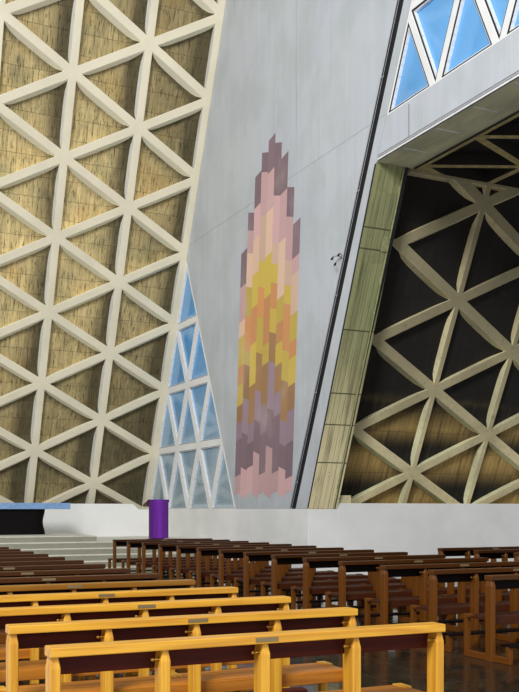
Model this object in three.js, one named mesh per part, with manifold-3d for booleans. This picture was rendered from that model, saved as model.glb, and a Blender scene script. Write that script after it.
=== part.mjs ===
// Sanctuary end of a modern concrete church: a leaning coffered end wall, a side wall with a
// corner window and a triangular bay, the coffered aisle behind the bay, steps and pews.
// Millimetres, +Z up, +Y towards the altar. The origin is at ground level on the inner corner
// between the end wall and the side wall. The nave lies at negative X, the aisle at positive X.
import * as THREE from "three";
import { mergeVertices } from "three/addons/utils/BufferGeometryUtils.js";
import Module from "manifold-3d";

const wasm = await Module();
wasm.setup();

// Clearance where two leaning faces meet, measured level.
const GAP = 0.5;
// How far two shapes run into each other where they are one piece
const FUSE = 5;

// Floors and steps
const FLOOR = 200;
const RISER = 150;
const TREAD = 300;
const STEP_COUNT = 4;
const PLATFORM_TOP = FLOOR + (STEP_COUNT + 1) * RISER;
const PLATFORM_FRONT = -6200;
const DAIS_TOP = PLATFORM_TOP + RISER;
const DAIS_FRONT = PLATFORM_FRONT + TREAD;
const DAIS_RIGHT = -3200;
const NEAR_END = -26800;

// End wall: its face leans LEAN millimetres towards the nave for each millimetre of height
const LEAN = 0.46;
const BAY = 1926;
const BAY_COUNT = 5;
const NAVE_LEFT = -BAY * BAY_COUNT;
const LATTICE_ZERO = 1639;
const LATTICE_RISE = 952;
const ROWS_ABOVE_ZERO = 16;
const RIB = 200;
const RIB_DEPTH = 270;
const RIB_DRAFT = 45;
const INFILL = 180;
const OUTER_RIB_DEPTH = 150;
const CORNER_RIB = 190;
const TOP = LATTICE_ZERO + ROWS_ABOVE_ZERO * LATTICE_RISE;
const END_WALL_DEPTH = RIB_DEPTH + GAP + INFILL + OUTER_RIB_DEPTH;

// Coffers: how deep their floors lie at the corners, how steeply they drop from there, and how
// far along each side, as a share of it, they are shaped
const CORNER_DEPTH = 40;
const FLOOR_DROP = 4.5;
const FLOOR_STEPS = [0, 0.1, 0.35];

// Side wall
const SIDE_THICK = 750;
const SIDE_JOINT = 9460;
const LOW_WALL_TOP = 1800;
const WINDOW_RIGHT = -7650;
const WINDOW_APEX = 9038;
const WINDOW_BARS = { level: 190, slanted: 170, bottom: 20, side: 45 };
const WINDOW_BAR_DEPTH = 60;
const GLASS = 24;
const CHANNEL_AT_BASE = -10780;
const CHANNEL_SLOPE = 0.457;
const CHANNEL_WIDTH = 200;
const CHANNEL_RECESS = 12;

// Triangular bay in the side wall, mirrored about BAY_MIDDLE
const BAY_MIDDLE = -18110;
const JAMB_AT_BASE = -11600;
const BEAM_UNDER = 8640;
const BEAM_TOP = 9420;
const BEAM_DEPTH = 910;
const JAMB_AT_BEAM = -14420;
const BAY_APEX = 16750;
const CLERESTORY_ZERO = 9255;
const CLERESTORY_HALF = 3500;
const CLERESTORY_BARS = { level: 155, slanted: 155, bottom: 120, side: 120 };
const CLERESTORY_DEPTH = 85;
const CLERESTORY_SILL = 30;
const CLERESTORY_TOP = BAY_APEX - 300;
const CLERESTORY_HEAD = BAY_APEX - 500;
const GRID_ROWS = 4;

// Aisle behind the bay
const AISLE_LEAN = 0.4737;
const AISLE_FACE = -9928;
const AISLE_COLUMN = 1166;
const AISLE_PITCH = 1913;
const AISLE_BAYS = 3;
const AISLE_ROWS = 10;
const AISLE_RIGHT = AISLE_COLUMN + AISLE_BAYS * AISLE_PITCH;
const AISLE_LATTICE_ZERO = -191;
const AISLE_UPRIGHT = 130;
const AISLE_RIB_DEPTH = 240;
const AISLE_DRAFT = 30;
const AISLE_HEAD_RIB = 60;
const AISLE_STUB = 130;
const CEILING = 8770;
const CEILING_RIB_DEPTH = 250;
const CEILING_RIB = 170;
const CEILING_SLAB = 180;
const CEILING_RISE = 865;
const CEILING_FIRST_NODE = -14310;
const CEILING_ROWS = 10;
const AISLE_LOW_WALL_TOP = 1930;
const AISLE_LOW_WALL = 300;

// Sanctuary low wall
const SANCTUARY_WALL_TOP = 1960;
const SANCTUARY_WALL_LOW_TOP = 1790;
const SANCTUARY_WALL_FACE = -1900;
const SANCTUARY_WALL_THICK = 250;
const SANCTUARY_WALL_SLOPE = { from: -890, to: -700 };

// Altar and ambo
const ALTAR_RIGHT = -3465;
const ALTAR_LENGTH = 3000;
const ALTAR_FRONT = -4250;
const ALTAR_WIDTH = 1000;
const ALTAR_HEIGHT = 865;
const ALTAR_SLAB = 170;
const ALTAR_INSET = 640;
const ALTAR_SET_BACK = 125;
const AMBO_LEFT = -1850;
const AMBO_FRONT = -6080;
const AMBO_WIDTH = 600;
const AMBO_DEPTH = 420;
const AMBO_HEIGHT = 1100;
const AMBO_DROP = 130;
const AMBO_BOARD = 60;
const AMBO_POST = { width: 340, from: 60, to: 320 };
const AMBO_CLOTH = { thick: 6, inset: 30, hem: 60 };

// Pews
const PEW_LENGTH = 2420;
const PEW_PITCH = 1020;
const PEW_POSTS = 5;
const PEW_POST = 56;
const PEW_HEIGHT = 900;
const PEW_RAIL = 50;
const LEFT_BLOCK = { x: -9220, y: -25820, rows: 12 };
const MIDDLE_BLOCK = { x: -3790, y: -22550, rows: 13 };

const finish = (color, roughness, metalness = 0) =>
  new THREE.MeshStandardMaterial({ color, roughness, metalness });
const creamConcrete = finish(0xe6e1d4, 0.85);
const tanConcrete = finish(0x9d8d72, 0.95);
const whiteConcrete = finish(0xdddbe0, 0.8);
const rawConcrete = finish(0x9a917a, 0.9);
const darkInfill = finish(0x35302a, 0.95);
const darkMetal = finish(0x2c2d33, 0.5, 0.6);
const paleGlass = finish(0xa9cdea, 0.1);
const darkStone = finish(0x4a4a44, 0.25);
const stepStone = finish(0x8d9488, 0.6);
const honeyWood = finish(0xc98532, 0.5);
const darkWood = finish(0x2e1c16, 0.4);
const paleStone = finish(0xbccbe0, 0.4);
const purpleCloth = finish(0x5a1689, 0.9);

const root = new THREE.Group();
root.name = "church_sanctuary_bay";

function add(name, geometry, material, position = [0, 0, 0]) {
  const mesh = new THREE.Mesh(geometry, material);
  mesh.name = name;
  mesh.position.set(...position);
  root.add(mesh);
  return mesh;
}

// Boolean solids
function toSolid(geometry) {
  const bare = geometry.clone();
  bare.deleteAttribute("normal");
  bare.deleteAttribute("uv");
  const merged = mergeVertices(bare, 1e-3);
  return new wasm.Manifold(
    new wasm.Mesh({
      numProp: 3,
      vertProperties: merged.attributes.position.array,
      triVerts: new Uint32Array(merged.index.array),
    }),
  );
}

function toGeometry(solid) {
  const mesh = solid.getMesh();
  const geometry = new THREE.BufferGeometry();
  geometry.setAttribute("position", new THREE.BufferAttribute(mesh.vertProperties, 3));
  geometry.setIndex(new THREE.BufferAttribute(mesh.triVerts, 1));
  geometry.computeVertexNormals();
  return geometry;
}

const joinSolids = (solids) => solids.reduce((a, b) => a.add(b));
const cutSolids = (solid, cutters) => cutters.reduce((a, b) => a.subtract(b), solid);
const join = (geometries) => toGeometry(joinSolids(geometries.map(toSolid)));

// Outlines carried along a direction, with openings cut right through
const CUT_PAST = 10;

function prism(outline, depth) {
  const shape = new THREE.Shape(outline.map(([u, v]) => new THREE.Vector2(u, v)));
  return new THREE.ExtrudeGeometry(shape, { depth, bevelEnabled: false });
}

function extrude(outline, holes, depth) {
  const plate = prism(outline, depth);
  if (!holes.length) return plate;
  const cutters = holes.map((hole) =>
    toSolid(prism(hole, depth + 2 * CUT_PAST).translate(0, 0, -CUT_PAST)),
  );
  return toGeometry(cutSolids(toSolid(plate), cutters));
}

function place(geometry, u, v, w, origin) {
  const basis = new THREE.Matrix4().makeBasis(
    new THREE.Vector3(...u),
    new THREE.Vector3(...v),
    new THREE.Vector3(...w),
  );
  basis.setPosition(...origin);
  return geometry.applyMatrix4(basis);
}

// Outline of [y, z] points, standing in the side wall between two X planes
const sidePanel = (outline, x0, x1, holes = []) =>
  place(extrude(outline, holes, x1 - x0), [0, 1, 0], [0, 0, 1], [1, 0, 0], [x0, 0, 0]);

// A shape drawn with x, z and a third axis towards the nave's near end, moved so that its zero
// lies on a wall's face. Each level is moved along Y by lean times its height.
const leaning = (geometry, face, lean) =>
  place(geometry, [1, 0, 0], [0, lean, 1], [0, -1, 0], [0, face, 0]);

// Outline of [x, y] points, lying level from z0 to z1
const levelPanel = (outline, z0, z1, holes = []) =>
  place(extrude(outline, holes, z1 - z0), [1, 0, 0], [0, 1, 0], [0, 0, 1], [0, 0, z0]);

const rectangle = (u0, v0, u1, v1) => [
  [u0, v0],
  [u1, v0],
  [u1, v1],
  [u0, v1],
];

const block = (x0, y0, z0, x1, y1, z1) => levelPanel(rectangle(x0, y0, x1, y1), z0, z1);

// A line as its unit normal towards a point, and its distance from zero along that normal
function lineBetween(p, q, inner) {
  const length = Math.hypot(q[0] - p[0], q[1] - p[1]);
  const normal = [(p[1] - q[1]) / length, (q[0] - p[0]) / length];
  const along = (point) => normal[0] * point[0] + normal[1] * point[1];
  const side = Math.sign(along(inner) - along(p));
  return [side * normal[0], side * normal[1], side * along(p)];
}

function crossing([a, b, c], [d, e, f]) {
  const measure = a * e - b * d;
  return [(c * e - b * f) / measure, (a * f - c * d) / measure];
}

// A triangle with each side moved in by its own distance, the first from corner 0 to corner 1
function insetTriangle(corners, distances) {
  const lines = corners.map((p, n) => {
    const [x, y, offset] = lineBetween(p, corners[(n + 1) % 3], corners[(n + 2) % 3]);
    return [x, y, offset + distances[n]];
  });
  return lines.map((line, n) => crossing(lines[(n + 2) % 3], line));
}

const SAME_POINT = 1;

// The part of an outline on one side of a level or upright line
function clip(outline, k, limit, keep) {
  const inside = (p) => keep * (p[k] - limit) >= 0;
  const result = [];
  outline.forEach((p, n) => {
    const q = outline[(n + 1) % outline.length];
    if (inside(p)) result.push(p);
    if (inside(p) !== inside(q)) {
      const t = (limit - p[k]) / (q[k] - p[k]);
      result.push([p[0] + t * (q[0] - p[0]), p[1] + t * (q[1] - p[1])]);
    }
  });
  return result.filter((p, n) => {
    const q = result[(n + 1) % result.length];
    return Math.hypot(p[0] - q[0], p[1] - q[1]) > SAME_POINT;
  });
}

function areaOf(outline) {
  let sum = 0;
  outline.forEach((p, n) => {
    const q = outline[(n + 1) % outline.length];
    sum += p[0] * q[1] - q[0] * p[1];
  });
  return Math.abs(sum) / 2;
}

const SMALLEST_COFFER = 30000;

const clipTo = (t, [u0, v0, u1, v1]) =>
  clip(clip(clip(clip(t, 0, u0, 1), 0, u1, -1), 1, v0, 1), 1, v1, -1);

const bigEnough = (outline) => outline.length > 2 && areaOf(outline) > SMALLEST_COFFER;

const clipAll = (triangles, bounds) => triangles.map((t) => clipTo(t, bounds)).filter(bigEnough);

// Triangles between upright columns whose nodes step up by one row from column to column.
// The first side of each is its upright one. Where the first column has no rib of its own, its
// coffers run out past it by the open distance.
function coffers({ u, pitch, v, rise, from, to, rows, upright, rib, open }, bounds) {
  const triangles = [];
  for (let i = from; i < to; i++) {
    for (let j = -2; j <= rows + 2; j++) {
      const here = ((i % 2) + 2) % 2 === ((j % 2) + 2) % 2;
      const left = u + i * pitch;
      const right = left + pitch;
      const [base, tip] = here ? [left, right] : [right, left];
      const side = open && here && i === from ? -open : upright / 2;
      const triangle = [
        [base, v + j * rise],
        [base, v + (j + 2) * rise],
        [tip, v + (j + 1) * rise],
      ];
      triangles.push(insetTriangle(triangle, [side, rib / 2, rib / 2]));
    }
  }
  return triangles.filter((t) => bigEnough(clipTo(t, bounds)));
}

const layer = (outline, w) => outline.map(([u, v]) => [u, v, w]);

// A coffer's hole through the ribs, whose sides draw in by draft over their depth.
// The wall runs back from zero along into, which is 1 or -1.
function taperedHole(triangle, { depth, draft, into }, clearance = 0) {
  const past = (draft * CUT_PAST) / depth;
  const wide = insetTriangle(triangle, Array(3).fill(clearance - past));
  const narrow = insetTriangle(triangle, Array(3).fill(clearance + draft + past));
  const far = into * (depth + CUT_PAST);
  return wasm.Manifold.hull([...layer(wide, -into * CUT_PAST), ...layer(narrow, far)]);
}

// How much of its depth a coffer's floor has reached, from the weights of the three corners:
// nothing at a corner and nearly all of it from a third of a side on
const reached = (weights) =>
  Math.tanh(FLOOR_DROP * (1 - weights.reduce((sum, w) => sum + w * w, 0)));

// The space over a coffer's floor, which is flat in the middle and rises into the corners
function coffer(triangle, { depth, into }) {
  const mouth = insetTriangle(triangle, Array(3).fill(-2 * CUT_PAST));
  const points = layer(mouth, -2 * into * CUT_PAST);
  for (let n = 0; n < 3; n++) {
    for (const step of FLOOR_STEPS) {
      for (const other of [(n + 1) % 3, (n + 2) % 3]) {
        const weights = [0, 0, 0];
        weights[n] = 1 - step;
        weights[other] += step;
        const down = CORNER_DEPTH + (depth - CORNER_DEPTH) * reached(weights);
        const [u, v] = [0, 1].map((k) => weights.reduce((sum, w, m) => sum + w * triangle[m][k], 0));
        points.push([u, v, into * down]);
      }
    }
  }
  return wasm.Manifold.hull(points);
}

// A plate of a wall, from one distance behind its face to another
function plate(outline, from, to, into) {
  const start = into > 0 ? from : -to;
  return toSolid(prism(outline, to - from).translate(0, 0, start));
}

const within = ([u0, v0, u1, v1], { depth, into }, margin = 0) =>
  plate(
    rectangle(u0 + margin, v0 + margin, u1 - margin, v1 - margin),
    -2 * CUT_PAST,
    depth + 2 * CUT_PAST,
    into,
  );

// A wall's ribs, and the slab behind them with a curved floor standing up in each coffer
function cofferedRibs(outline, triangles, bounds, wall) {
  const room = within(bounds, wall);
  const holes = triangles.map((t) => taperedHole(t, wall).intersect(room));
  return cutSolids(plate(outline, 0, wall.depth, wall.into), holes);
}

function cofferedSlab(outline, triangles, bounds, wall) {
  const room = within(bounds, wall, GAP);
  const floors = triangles.map((t) =>
    taperedHole(t, wall, GAP).intersect(room).subtract(coffer(t, wall)),
  );
  const start = wall.depth + GAP;
  return joinSolids([plate(outline, start, start + INFILL, wall.into), ...floors]);
}

// The panes of a big triangle with its sides divided in equal parts. The side from a to b is its
// bottom, and the bars along it and along the other two sides have widths of their own.
function dividedTriangle(a, b, c, parts, bars) {
  const node = (i, j) =>
    [0, 1].map((k) => a[k] + ((b[k] - a[k]) * i) / parts + ((c[k] - a[k]) * j) / parts);
  const level = bars.level / 2;
  const slanted = bars.slanted / 2;
  const panes = [];
  for (let j = 0; j < parts; j++) {
    for (let i = 0; i < parts - j; i++) {
      const last = i + j === parts - 1;
      const distances = [j ? level : bars.bottom, last ? bars.side : slanted, i ? slanted : bars.side];
      panes.push(insetTriangle([node(i, j), node(i + 1, j), node(i, j + 1)], distances));
      const hanging = [node(i + 1, j), node(i + 1, j + 1), node(i, j + 1)];
      if (!last) panes.push(insetTriangle(hanging, [slanted, level, slanted]));
    }
  }
  return panes;
}

// Lines on the side wall, as the Y of a height
const endWallFace = (z) => -LEAN * z;
const channelLine = (z) => CHANNEL_AT_BASE - CHANNEL_SLOPE * (z - LOW_WALL_TOP);
const mirrorY = (outline) => outline.map(([y, z]) => [2 * BAY_MIDDLE - y, z]);

function buildFloors() {
  const wallStart = (z) => endWallFace(z) - GAP;
  add("nave_floor", block(NAVE_LEFT, NEAR_END, 0, 0, wallStart(FLOOR), FLOOR), darkStone);
  const nearJamb = 2 * BAY_MIDDLE - JAMB_AT_BASE;
  add("aisle_floor", block(0, nearJamb, 0, AISLE_RIGHT, JAMB_AT_BASE, FLOOR), darkStone);
  for (let n = 1; n <= STEP_COUNT; n++) {
    const back = PLATFORM_FRONT - (STEP_COUNT - n) * TREAD;
    add(
      "step_" + n,
      block(NAVE_LEFT, back - TREAD, FLOOR, 0, back, FLOOR + n * RISER),
      stepStone,
    );
  }
  add(
    "platform",
    block(NAVE_LEFT, PLATFORM_FRONT, FLOOR, 0, wallStart(PLATFORM_TOP), PLATFORM_TOP),
    stepStone,
  );
  add(
    "dais",
    block(NAVE_LEFT, DAIS_FRONT, PLATFORM_TOP, DAIS_RIGHT, SANCTUARY_WALL_FACE, DAIS_TOP),
    stepStone,
  );
  const wall = [
    [NAVE_LEFT, PLATFORM_TOP],
    [-GAP, PLATFORM_TOP],
    [-GAP, SANCTUARY_WALL_LOW_TOP],
    [SANCTUARY_WALL_SLOPE.to, SANCTUARY_WALL_LOW_TOP],
    [SANCTUARY_WALL_SLOPE.from, SANCTUARY_WALL_TOP],
    [NAVE_LEFT, SANCTUARY_WALL_TOP],
  ];
  const back = SANCTUARY_WALL_FACE + SANCTUARY_WALL_THICK;
  const wallShape = prism(wall, SANCTUARY_WALL_THICK);
  add("sanctuary_low_wall", leaning(wallShape, back, 0), whiteConcrete);
}

function buildEndWall() {
  const outline = rectangle(NAVE_LEFT, 0, 0, TOP);
  const half = RIB / 2;
  const bounds = [NAVE_LEFT + half, half, -CORNER_RIB, TOP - half];
  const grid = {
    u: NAVE_LEFT,
    pitch: BAY,
    v: LATTICE_ZERO - LATTICE_RISE,
    rise: LATTICE_RISE,
    from: 0,
    to: BAY_COUNT,
    rows: ROWS_ABOVE_ZERO + 1,
    upright: RIB,
    rib: RIB,
    open: 0,
  };
  const triangles = coffers(grid, bounds);
  const wall = { depth: RIB_DEPTH, draft: RIB_DRAFT, into: -1 };
  const ribs = cofferedRibs(outline, triangles, bounds, wall);
  add("end_wall_ribs", leaning(toGeometry(ribs), 0, -LEAN), creamConcrete);
  const outer = { depth: OUTER_RIB_DEPTH + FUSE, draft: 0, into: 1 };
  const outerRibs = cofferedRibs(outline, triangles, bounds, outer);
  const slab = cofferedSlab(outline, triangles, bounds, wall);
  const joined = slab.add(outerRibs.translate([0, 0, -END_WALL_DEPTH]));
  add("end_wall_slab", leaning(toGeometry(joined), 0, -LEAN), tanConcrete);
}

function buildCornerWindow() {
  const foot = [endWallFace(LOW_WALL_TOP), LOW_WALL_TOP];
  const right = [WINDOW_RIGHT, LOW_WALL_TOP];
  const apex = [endWallFace(WINDOW_APEX), WINDOW_APEX];
  const outline = [
    [right[0] + GAP, right[1]],
    [foot[0] + END_WALL_DEPTH, foot[1]],
    [apex[0] + END_WALL_DEPTH, apex[1]],
    [apex[0] + GAP, apex[1]],
  ];
  const panes = dividedTriangle(foot, right, apex, GRID_ROWS, WINDOW_BARS);
  add("corner_window_bars", sidePanel(outline, 0, WINDOW_BAR_DEPTH, panes), whiteConcrete);
  add(
    "corner_window_glass",
    sidePanel(outline, WINDOW_BAR_DEPTH, WINDOW_BAR_DEPTH + GLASS),
    paleGlass,
  );
}

function buildSideWall() {
  add(
    "side_low_wall",
    block(
      0,
      JAMB_AT_BASE,
      0,
      SIDE_THICK,
      endWallFace(LOW_WALL_TOP) + END_WALL_DEPTH,
      LOW_WALL_TOP,
    ),
    whiteConcrete,
  );
  const lower = [
    [WINDOW_RIGHT, LOW_WALL_TOP],
    [endWallFace(WINDOW_APEX), WINDOW_APEX],
    [endWallFace(WINDOW_APEX) + END_WALL_DEPTH, WINDOW_APEX],
    [endWallFace(SIDE_JOINT) + END_WALL_DEPTH, SIDE_JOINT],
    [channelLine(SIDE_JOINT), SIDE_JOINT],
    [channelLine(LOW_WALL_TOP), LOW_WALL_TOP],
  ];
  add("side_wall_lower", sidePanel(lower, 0, SIDE_THICK), whiteConcrete);
  const upper = [
    [endWallFace(SIDE_JOINT) + END_WALL_DEPTH, SIDE_JOINT],
    [endWallFace(TOP) + END_WALL_DEPTH, TOP],
    [channelLine(TOP), TOP],
    [channelLine(SIDE_JOINT), SIDE_JOINT],
  ];
  add("side_wall_upper", sidePanel(upper, 0, SIDE_THICK), whiteConcrete);
  const strip = (z, across) => [channelLine(z) - across, z];
  const channel = [
    strip(LOW_WALL_TOP, GAP),
    strip(TOP, GAP),
    strip(TOP, CHANNEL_WIDTH - GAP),
    strip(LOW_WALL_TOP, CHANNEL_WIDTH - GAP),
  ];
  add("service_channel", sidePanel(channel, CHANNEL_RECESS, SIDE_THICK), darkMetal);
}

function buildBay() {
  const post = [
    [channelLine(LOW_WALL_TOP) - CHANNEL_WIDTH, LOW_WALL_TOP],
    [channelLine(TOP) - CHANNEL_WIDTH, TOP],
    [BAY_MIDDLE, TOP],
    [BAY_MIDDLE, BAY_APEX],
    [JAMB_AT_BEAM, BEAM_UNDER],
    [JAMB_AT_BASE, LOW_WALL_TOP],
  ];
  add("raking_post_far", sidePanel(post, 0, SIDE_THICK), rawConcrete);
  add("raking_post_near", sidePanel(mirrorY(post), 0, SIDE_THICK), rawConcrete);
  const nearJamb = 2 * BAY_MIDDLE - JAMB_AT_BASE;
  add(
    "side_low_wall_near",
    block(0, NEAR_END, 0, SIDE_THICK, nearJamb, LOW_WALL_TOP),
    whiteConcrete,
  );

  const slope = (BAY_MIDDLE - JAMB_AT_BEAM) / (BAY_APEX - BEAM_UNDER);
  const innerLine = (z) => JAMB_AT_BEAM + slope * (z - BEAM_UNDER) - GAP;
  const bevelled = (z0, z1) => [
    [innerLine(z0), z0],
    [innerLine(z1), z1],
    [2 * BAY_MIDDLE - innerLine(z1), z1],
    [2 * BAY_MIDDLE - innerLine(z0), z0],
  ];
  add("ring_beam", sidePanel(bevelled(BEAM_UNDER, BEAM_TOP), 0, BEAM_DEPTH), whiteConcrete);

  const outline = bevelled(BEAM_TOP, CLERESTORY_TOP);
  const grid = dividedTriangle(
    [BAY_MIDDLE + CLERESTORY_HALF, CLERESTORY_ZERO],
    [BAY_MIDDLE - CLERESTORY_HALF, CLERESTORY_ZERO],
    [BAY_MIDDLE, TOP],
    GRID_ROWS,
    CLERESTORY_BARS,
  );
  const bounds = [-Infinity, BEAM_TOP + CLERESTORY_SILL, Infinity, CLERESTORY_HEAD];
  const panes = clipAll(grid, bounds);
  add("clerestory_bars", sidePanel(outline, 0, CLERESTORY_DEPTH, panes), whiteConcrete);
  add(
    "clerestory_glass",
    sidePanel(outline, CLERESTORY_DEPTH, CLERESTORY_DEPTH + GLASS),
    paleGlass,
  );
}

function buildAisle() {
  const half = RIB / 2;
  const left = AISLE_COLUMN - AISLE_STUB;
  const ribOutline = rectangle(left, 0, AISLE_RIGHT, CEILING);
  const slabOutline = rectangle(SIDE_THICK, 0, AISLE_RIGHT, CEILING);
  const lattice = {
    u: AISLE_COLUMN,
    pitch: AISLE_PITCH,
    rise: LATTICE_RISE,
    from: 0,
    to: AISLE_BAYS,
    rows: AISLE_ROWS,
    upright: AISLE_UPRIGHT,
    rib: RIB,
    open: AISLE_STUB + 2 * AISLE_DRAFT,
  };
  const bounds = [left - CUT_PAST, half, AISLE_RIGHT - half, CEILING - AISLE_HEAD_RIB];
  const triangles = coffers({ ...lattice, v: AISLE_LATTICE_ZERO }, bounds);
  const farWall = { depth: AISLE_RIB_DEPTH, draft: AISLE_DRAFT, into: -1 };
  const ribs = cofferedRibs(ribOutline, triangles, bounds, farWall);
  const slab = cofferedSlab(slabOutline, triangles, bounds, farWall);
  add("aisle_end_ribs", leaning(toGeometry(ribs), AISLE_FACE, -AISLE_LEAN), rawConcrete);
  add("aisle_end_slab", leaning(toGeometry(slab), AISLE_FACE, -AISLE_LEAN), darkInfill);
  const nearFace = 2 * BAY_MIDDLE - AISLE_FACE;
  const nearWall = { ...farWall, into: 1 };
  const hollows = triangles.map((t) =>
    taperedHole(t, nearWall).intersect(within(bounds, nearWall)).intersect(coffer(t, nearWall)),
  );
  const wallDepth = AISLE_RIB_DEPTH + GAP + INFILL;
  const whole = plate(ribOutline, 0, wallDepth, nearWall.into);
  const backing = plate(slabOutline, AISLE_RIB_DEPTH + GAP, wallDepth, nearWall.into);
  const near = cutSolids(whole.add(backing), hollows);
  add("aisle_near_wall", leaning(toGeometry(near), nearFace, AISLE_LEAN), rawConcrete);

  const nearJamb = 2 * BAY_MIDDLE - JAMB_AT_BASE;
  const lowWall = (y0) =>
    block(SIDE_THICK, y0, 0, AISLE_RIGHT, y0 + AISLE_LOW_WALL, AISLE_LOW_WALL_TOP);
  add("aisle_low_wall", lowWall(JAMB_AT_BASE), whiteConcrete);
  add("aisle_low_wall_near", lowWall(nearJamb - AISLE_LOW_WALL), whiteConcrete);

  const far = AISLE_FACE - AISLE_LEAN * CEILING + wallDepth;
  const back = 2 * BAY_MIDDLE - far;
  const roof = rectangle(BEAM_DEPTH, back, AISLE_RIGHT, far);
  const ceilingBounds = [AISLE_COLUMN, back + wallDepth + half, AISLE_RIGHT - half, far - wallDepth];
  const ceiling = {
    ...lattice,
    v: CEILING_FIRST_NODE - CEILING_ROWS * CEILING_RISE,
    rise: CEILING_RISE,
    rows: CEILING_ROWS,
    upright: CEILING_RIB,
    rib: CEILING_RIB,
    open: 0,
  };
  const cuts = clipAll(coffers(ceiling, ceilingBounds), ceilingBounds);
  const slabUnder = CEILING + CEILING_RIB_DEPTH;
  add("aisle_ceiling_ribs", levelPanel(roof, CEILING, slabUnder, cuts), rawConcrete);
  add("aisle_roof_slab", levelPanel(roof, slabUnder, slabUnder + CEILING_SLAB), darkInfill);
}

// A pew: upright frames under a flat top rail, a back board, a seat, and a kneeler behind.
// Its own origin is on the floor under the rail's middle, at the left end. Each board is given
// by its near and far sides and its under and upper sides.
const PEW_RAIL_UNDER = PEW_HEIGHT - PEW_RAIL;
const RAIL = [-65, 65, PEW_RAIL_UNDER, PEW_HEIGHT];
const BACK_BOARD = [48, 65, 745, PEW_RAIL_UNDER + FUSE];
const APRON = [48, 70, 370, 455];
const SEAT = [60, 430, 425, 455];
const KNEELER = [-350, -190, 180, 210];
const UPRIGHT = [-53, 53, 0, PEW_RAIL_UNDER + FUSE];
const SKID_TOP = 70;
const FRONT_POST = { from: 364, to: 420, top: 430 };
const FOOT = { from: -330, to: -274, top: 185 };
const PEW_FRAME = [
  [FOOT.from, 0],
  [FRONT_POST.to, 0],
  [FRONT_POST.to, FRONT_POST.top],
  [FRONT_POST.from, FRONT_POST.top],
  [FRONT_POST.from, SKID_TOP],
  [UPRIGHT[1], SKID_TOP],
  [UPRIGHT[1], UPRIGHT[3]],
  [UPRIGHT[0], UPRIGHT[3]],
  [UPRIGHT[0], SKID_TOP],
  [FOOT.to, SKID_TOP],
  [FOOT.to, FOOT.top],
  [FOOT.from, FOOT.top],
];

function pewGeometry() {
  const parts = [RAIL, BACK_BOARD, APRON, SEAT, KNEELER].map(([near, far, under, upper]) =>
    block(0, near, under, PEW_LENGTH, far, upper),
  );
  for (let n = 0; n < PEW_POSTS; n++) {
    const x = (n * (PEW_LENGTH - PEW_POST)) / (PEW_POSTS - 1);
    const [near, far, under, upper] = UPRIGHT;
    const frame = n % 2 === 0 ? PEW_FRAME : rectangle(near, under, far, upper);
    parts.push(sidePanel(frame, x, x + PEW_POST));
  }
  return join(parts);
}

function buildPews() {
  const geometry = pewGeometry();
  const place = (name, { x, y, rows }) => {
    for (let n = 0; n < rows; n++) {
      const label = name + "_" + String(n + 1).padStart(2, "0");
      add(label, geometry, honeyWood, [x, y + n * PEW_PITCH, FLOOR]);
    }
  };
  place("pew_left", LEFT_BLOCK);
  place("pew_middle", MIDDLE_BLOCK);
}

// A stone slab on a dark base
function buildAltar() {
  const left = ALTAR_RIGHT - ALTAR_LENGTH;
  const back = ALTAR_FRONT + ALTAR_WIDTH;
  const slabUnder = DAIS_TOP + ALTAR_HEIGHT - ALTAR_SLAB;
  add(
    "altar_base",
    block(
      left + ALTAR_INSET,
      ALTAR_FRONT + ALTAR_SET_BACK,
      DAIS_TOP,
      ALTAR_RIGHT - ALTAR_INSET,
      back - ALTAR_SET_BACK,
      slabUnder,
    ),
    darkWood,
  );
  add(
    "altar_slab",
    block(left, ALTAR_FRONT, slabUnder, ALTAR_RIGHT, back, slabUnder + ALTAR_SLAB),
    paleStone,
  );
}

// A sloped reading board on a post, and a cloth down its front
function buildAmbo() {
  const top = PLATFORM_TOP + AMBO_HEIGHT;
  const back = AMBO_FRONT + AMBO_DEPTH;
  const right = AMBO_LEFT + AMBO_WIDTH;
  const under = (y, down) => top - down - (AMBO_DROP * (y - AMBO_FRONT)) / AMBO_DEPTH;
  const board = [
    [AMBO_FRONT, under(AMBO_FRONT, AMBO_BOARD)],
    [back, under(back, AMBO_BOARD)],
    [back, under(back, 0)],
    [AMBO_FRONT, top],
  ];
  const postFront = AMBO_FRONT + AMBO_POST.from;
  const postBack = AMBO_FRONT + AMBO_POST.to;
  const post = [
    [postFront, PLATFORM_TOP],
    [postBack, PLATFORM_TOP],
    [postBack, under(postBack, AMBO_BOARD / 2)],
    [postFront, under(postFront, AMBO_BOARD / 2)],
  ];
  const postLeft = AMBO_LEFT + (AMBO_WIDTH - AMBO_POST.width) / 2;
  const shape = join([
    sidePanel(board, AMBO_LEFT, right),
    sidePanel(post, postLeft, postLeft + AMBO_POST.width),
  ]);
  add("ambo", shape, honeyWood);
  const cloth = block(
    AMBO_LEFT + AMBO_CLOTH.inset,
    AMBO_FRONT - AMBO_CLOTH.thick,
    PLATFORM_TOP + AMBO_CLOTH.hem,
    right - AMBO_CLOTH.inset,
    AMBO_FRONT,
    top,
  );
  add("ambo_cloth", cloth, purpleCloth);
}

buildFloors();
buildEndWall();
buildCornerWindow();
buildSideWall();
buildBay();
buildAisle();
buildAltar();
buildAmbo();
buildPews();

export default root;
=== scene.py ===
"""Looks of the sanctuary end of a modern concrete church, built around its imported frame.

Everything is in metres in the frame's own axes: +Z up, +Y towards the altar, and the origin at
ground level on the corner between the leaning end wall and the side wall.
"""

import functools
import math

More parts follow.
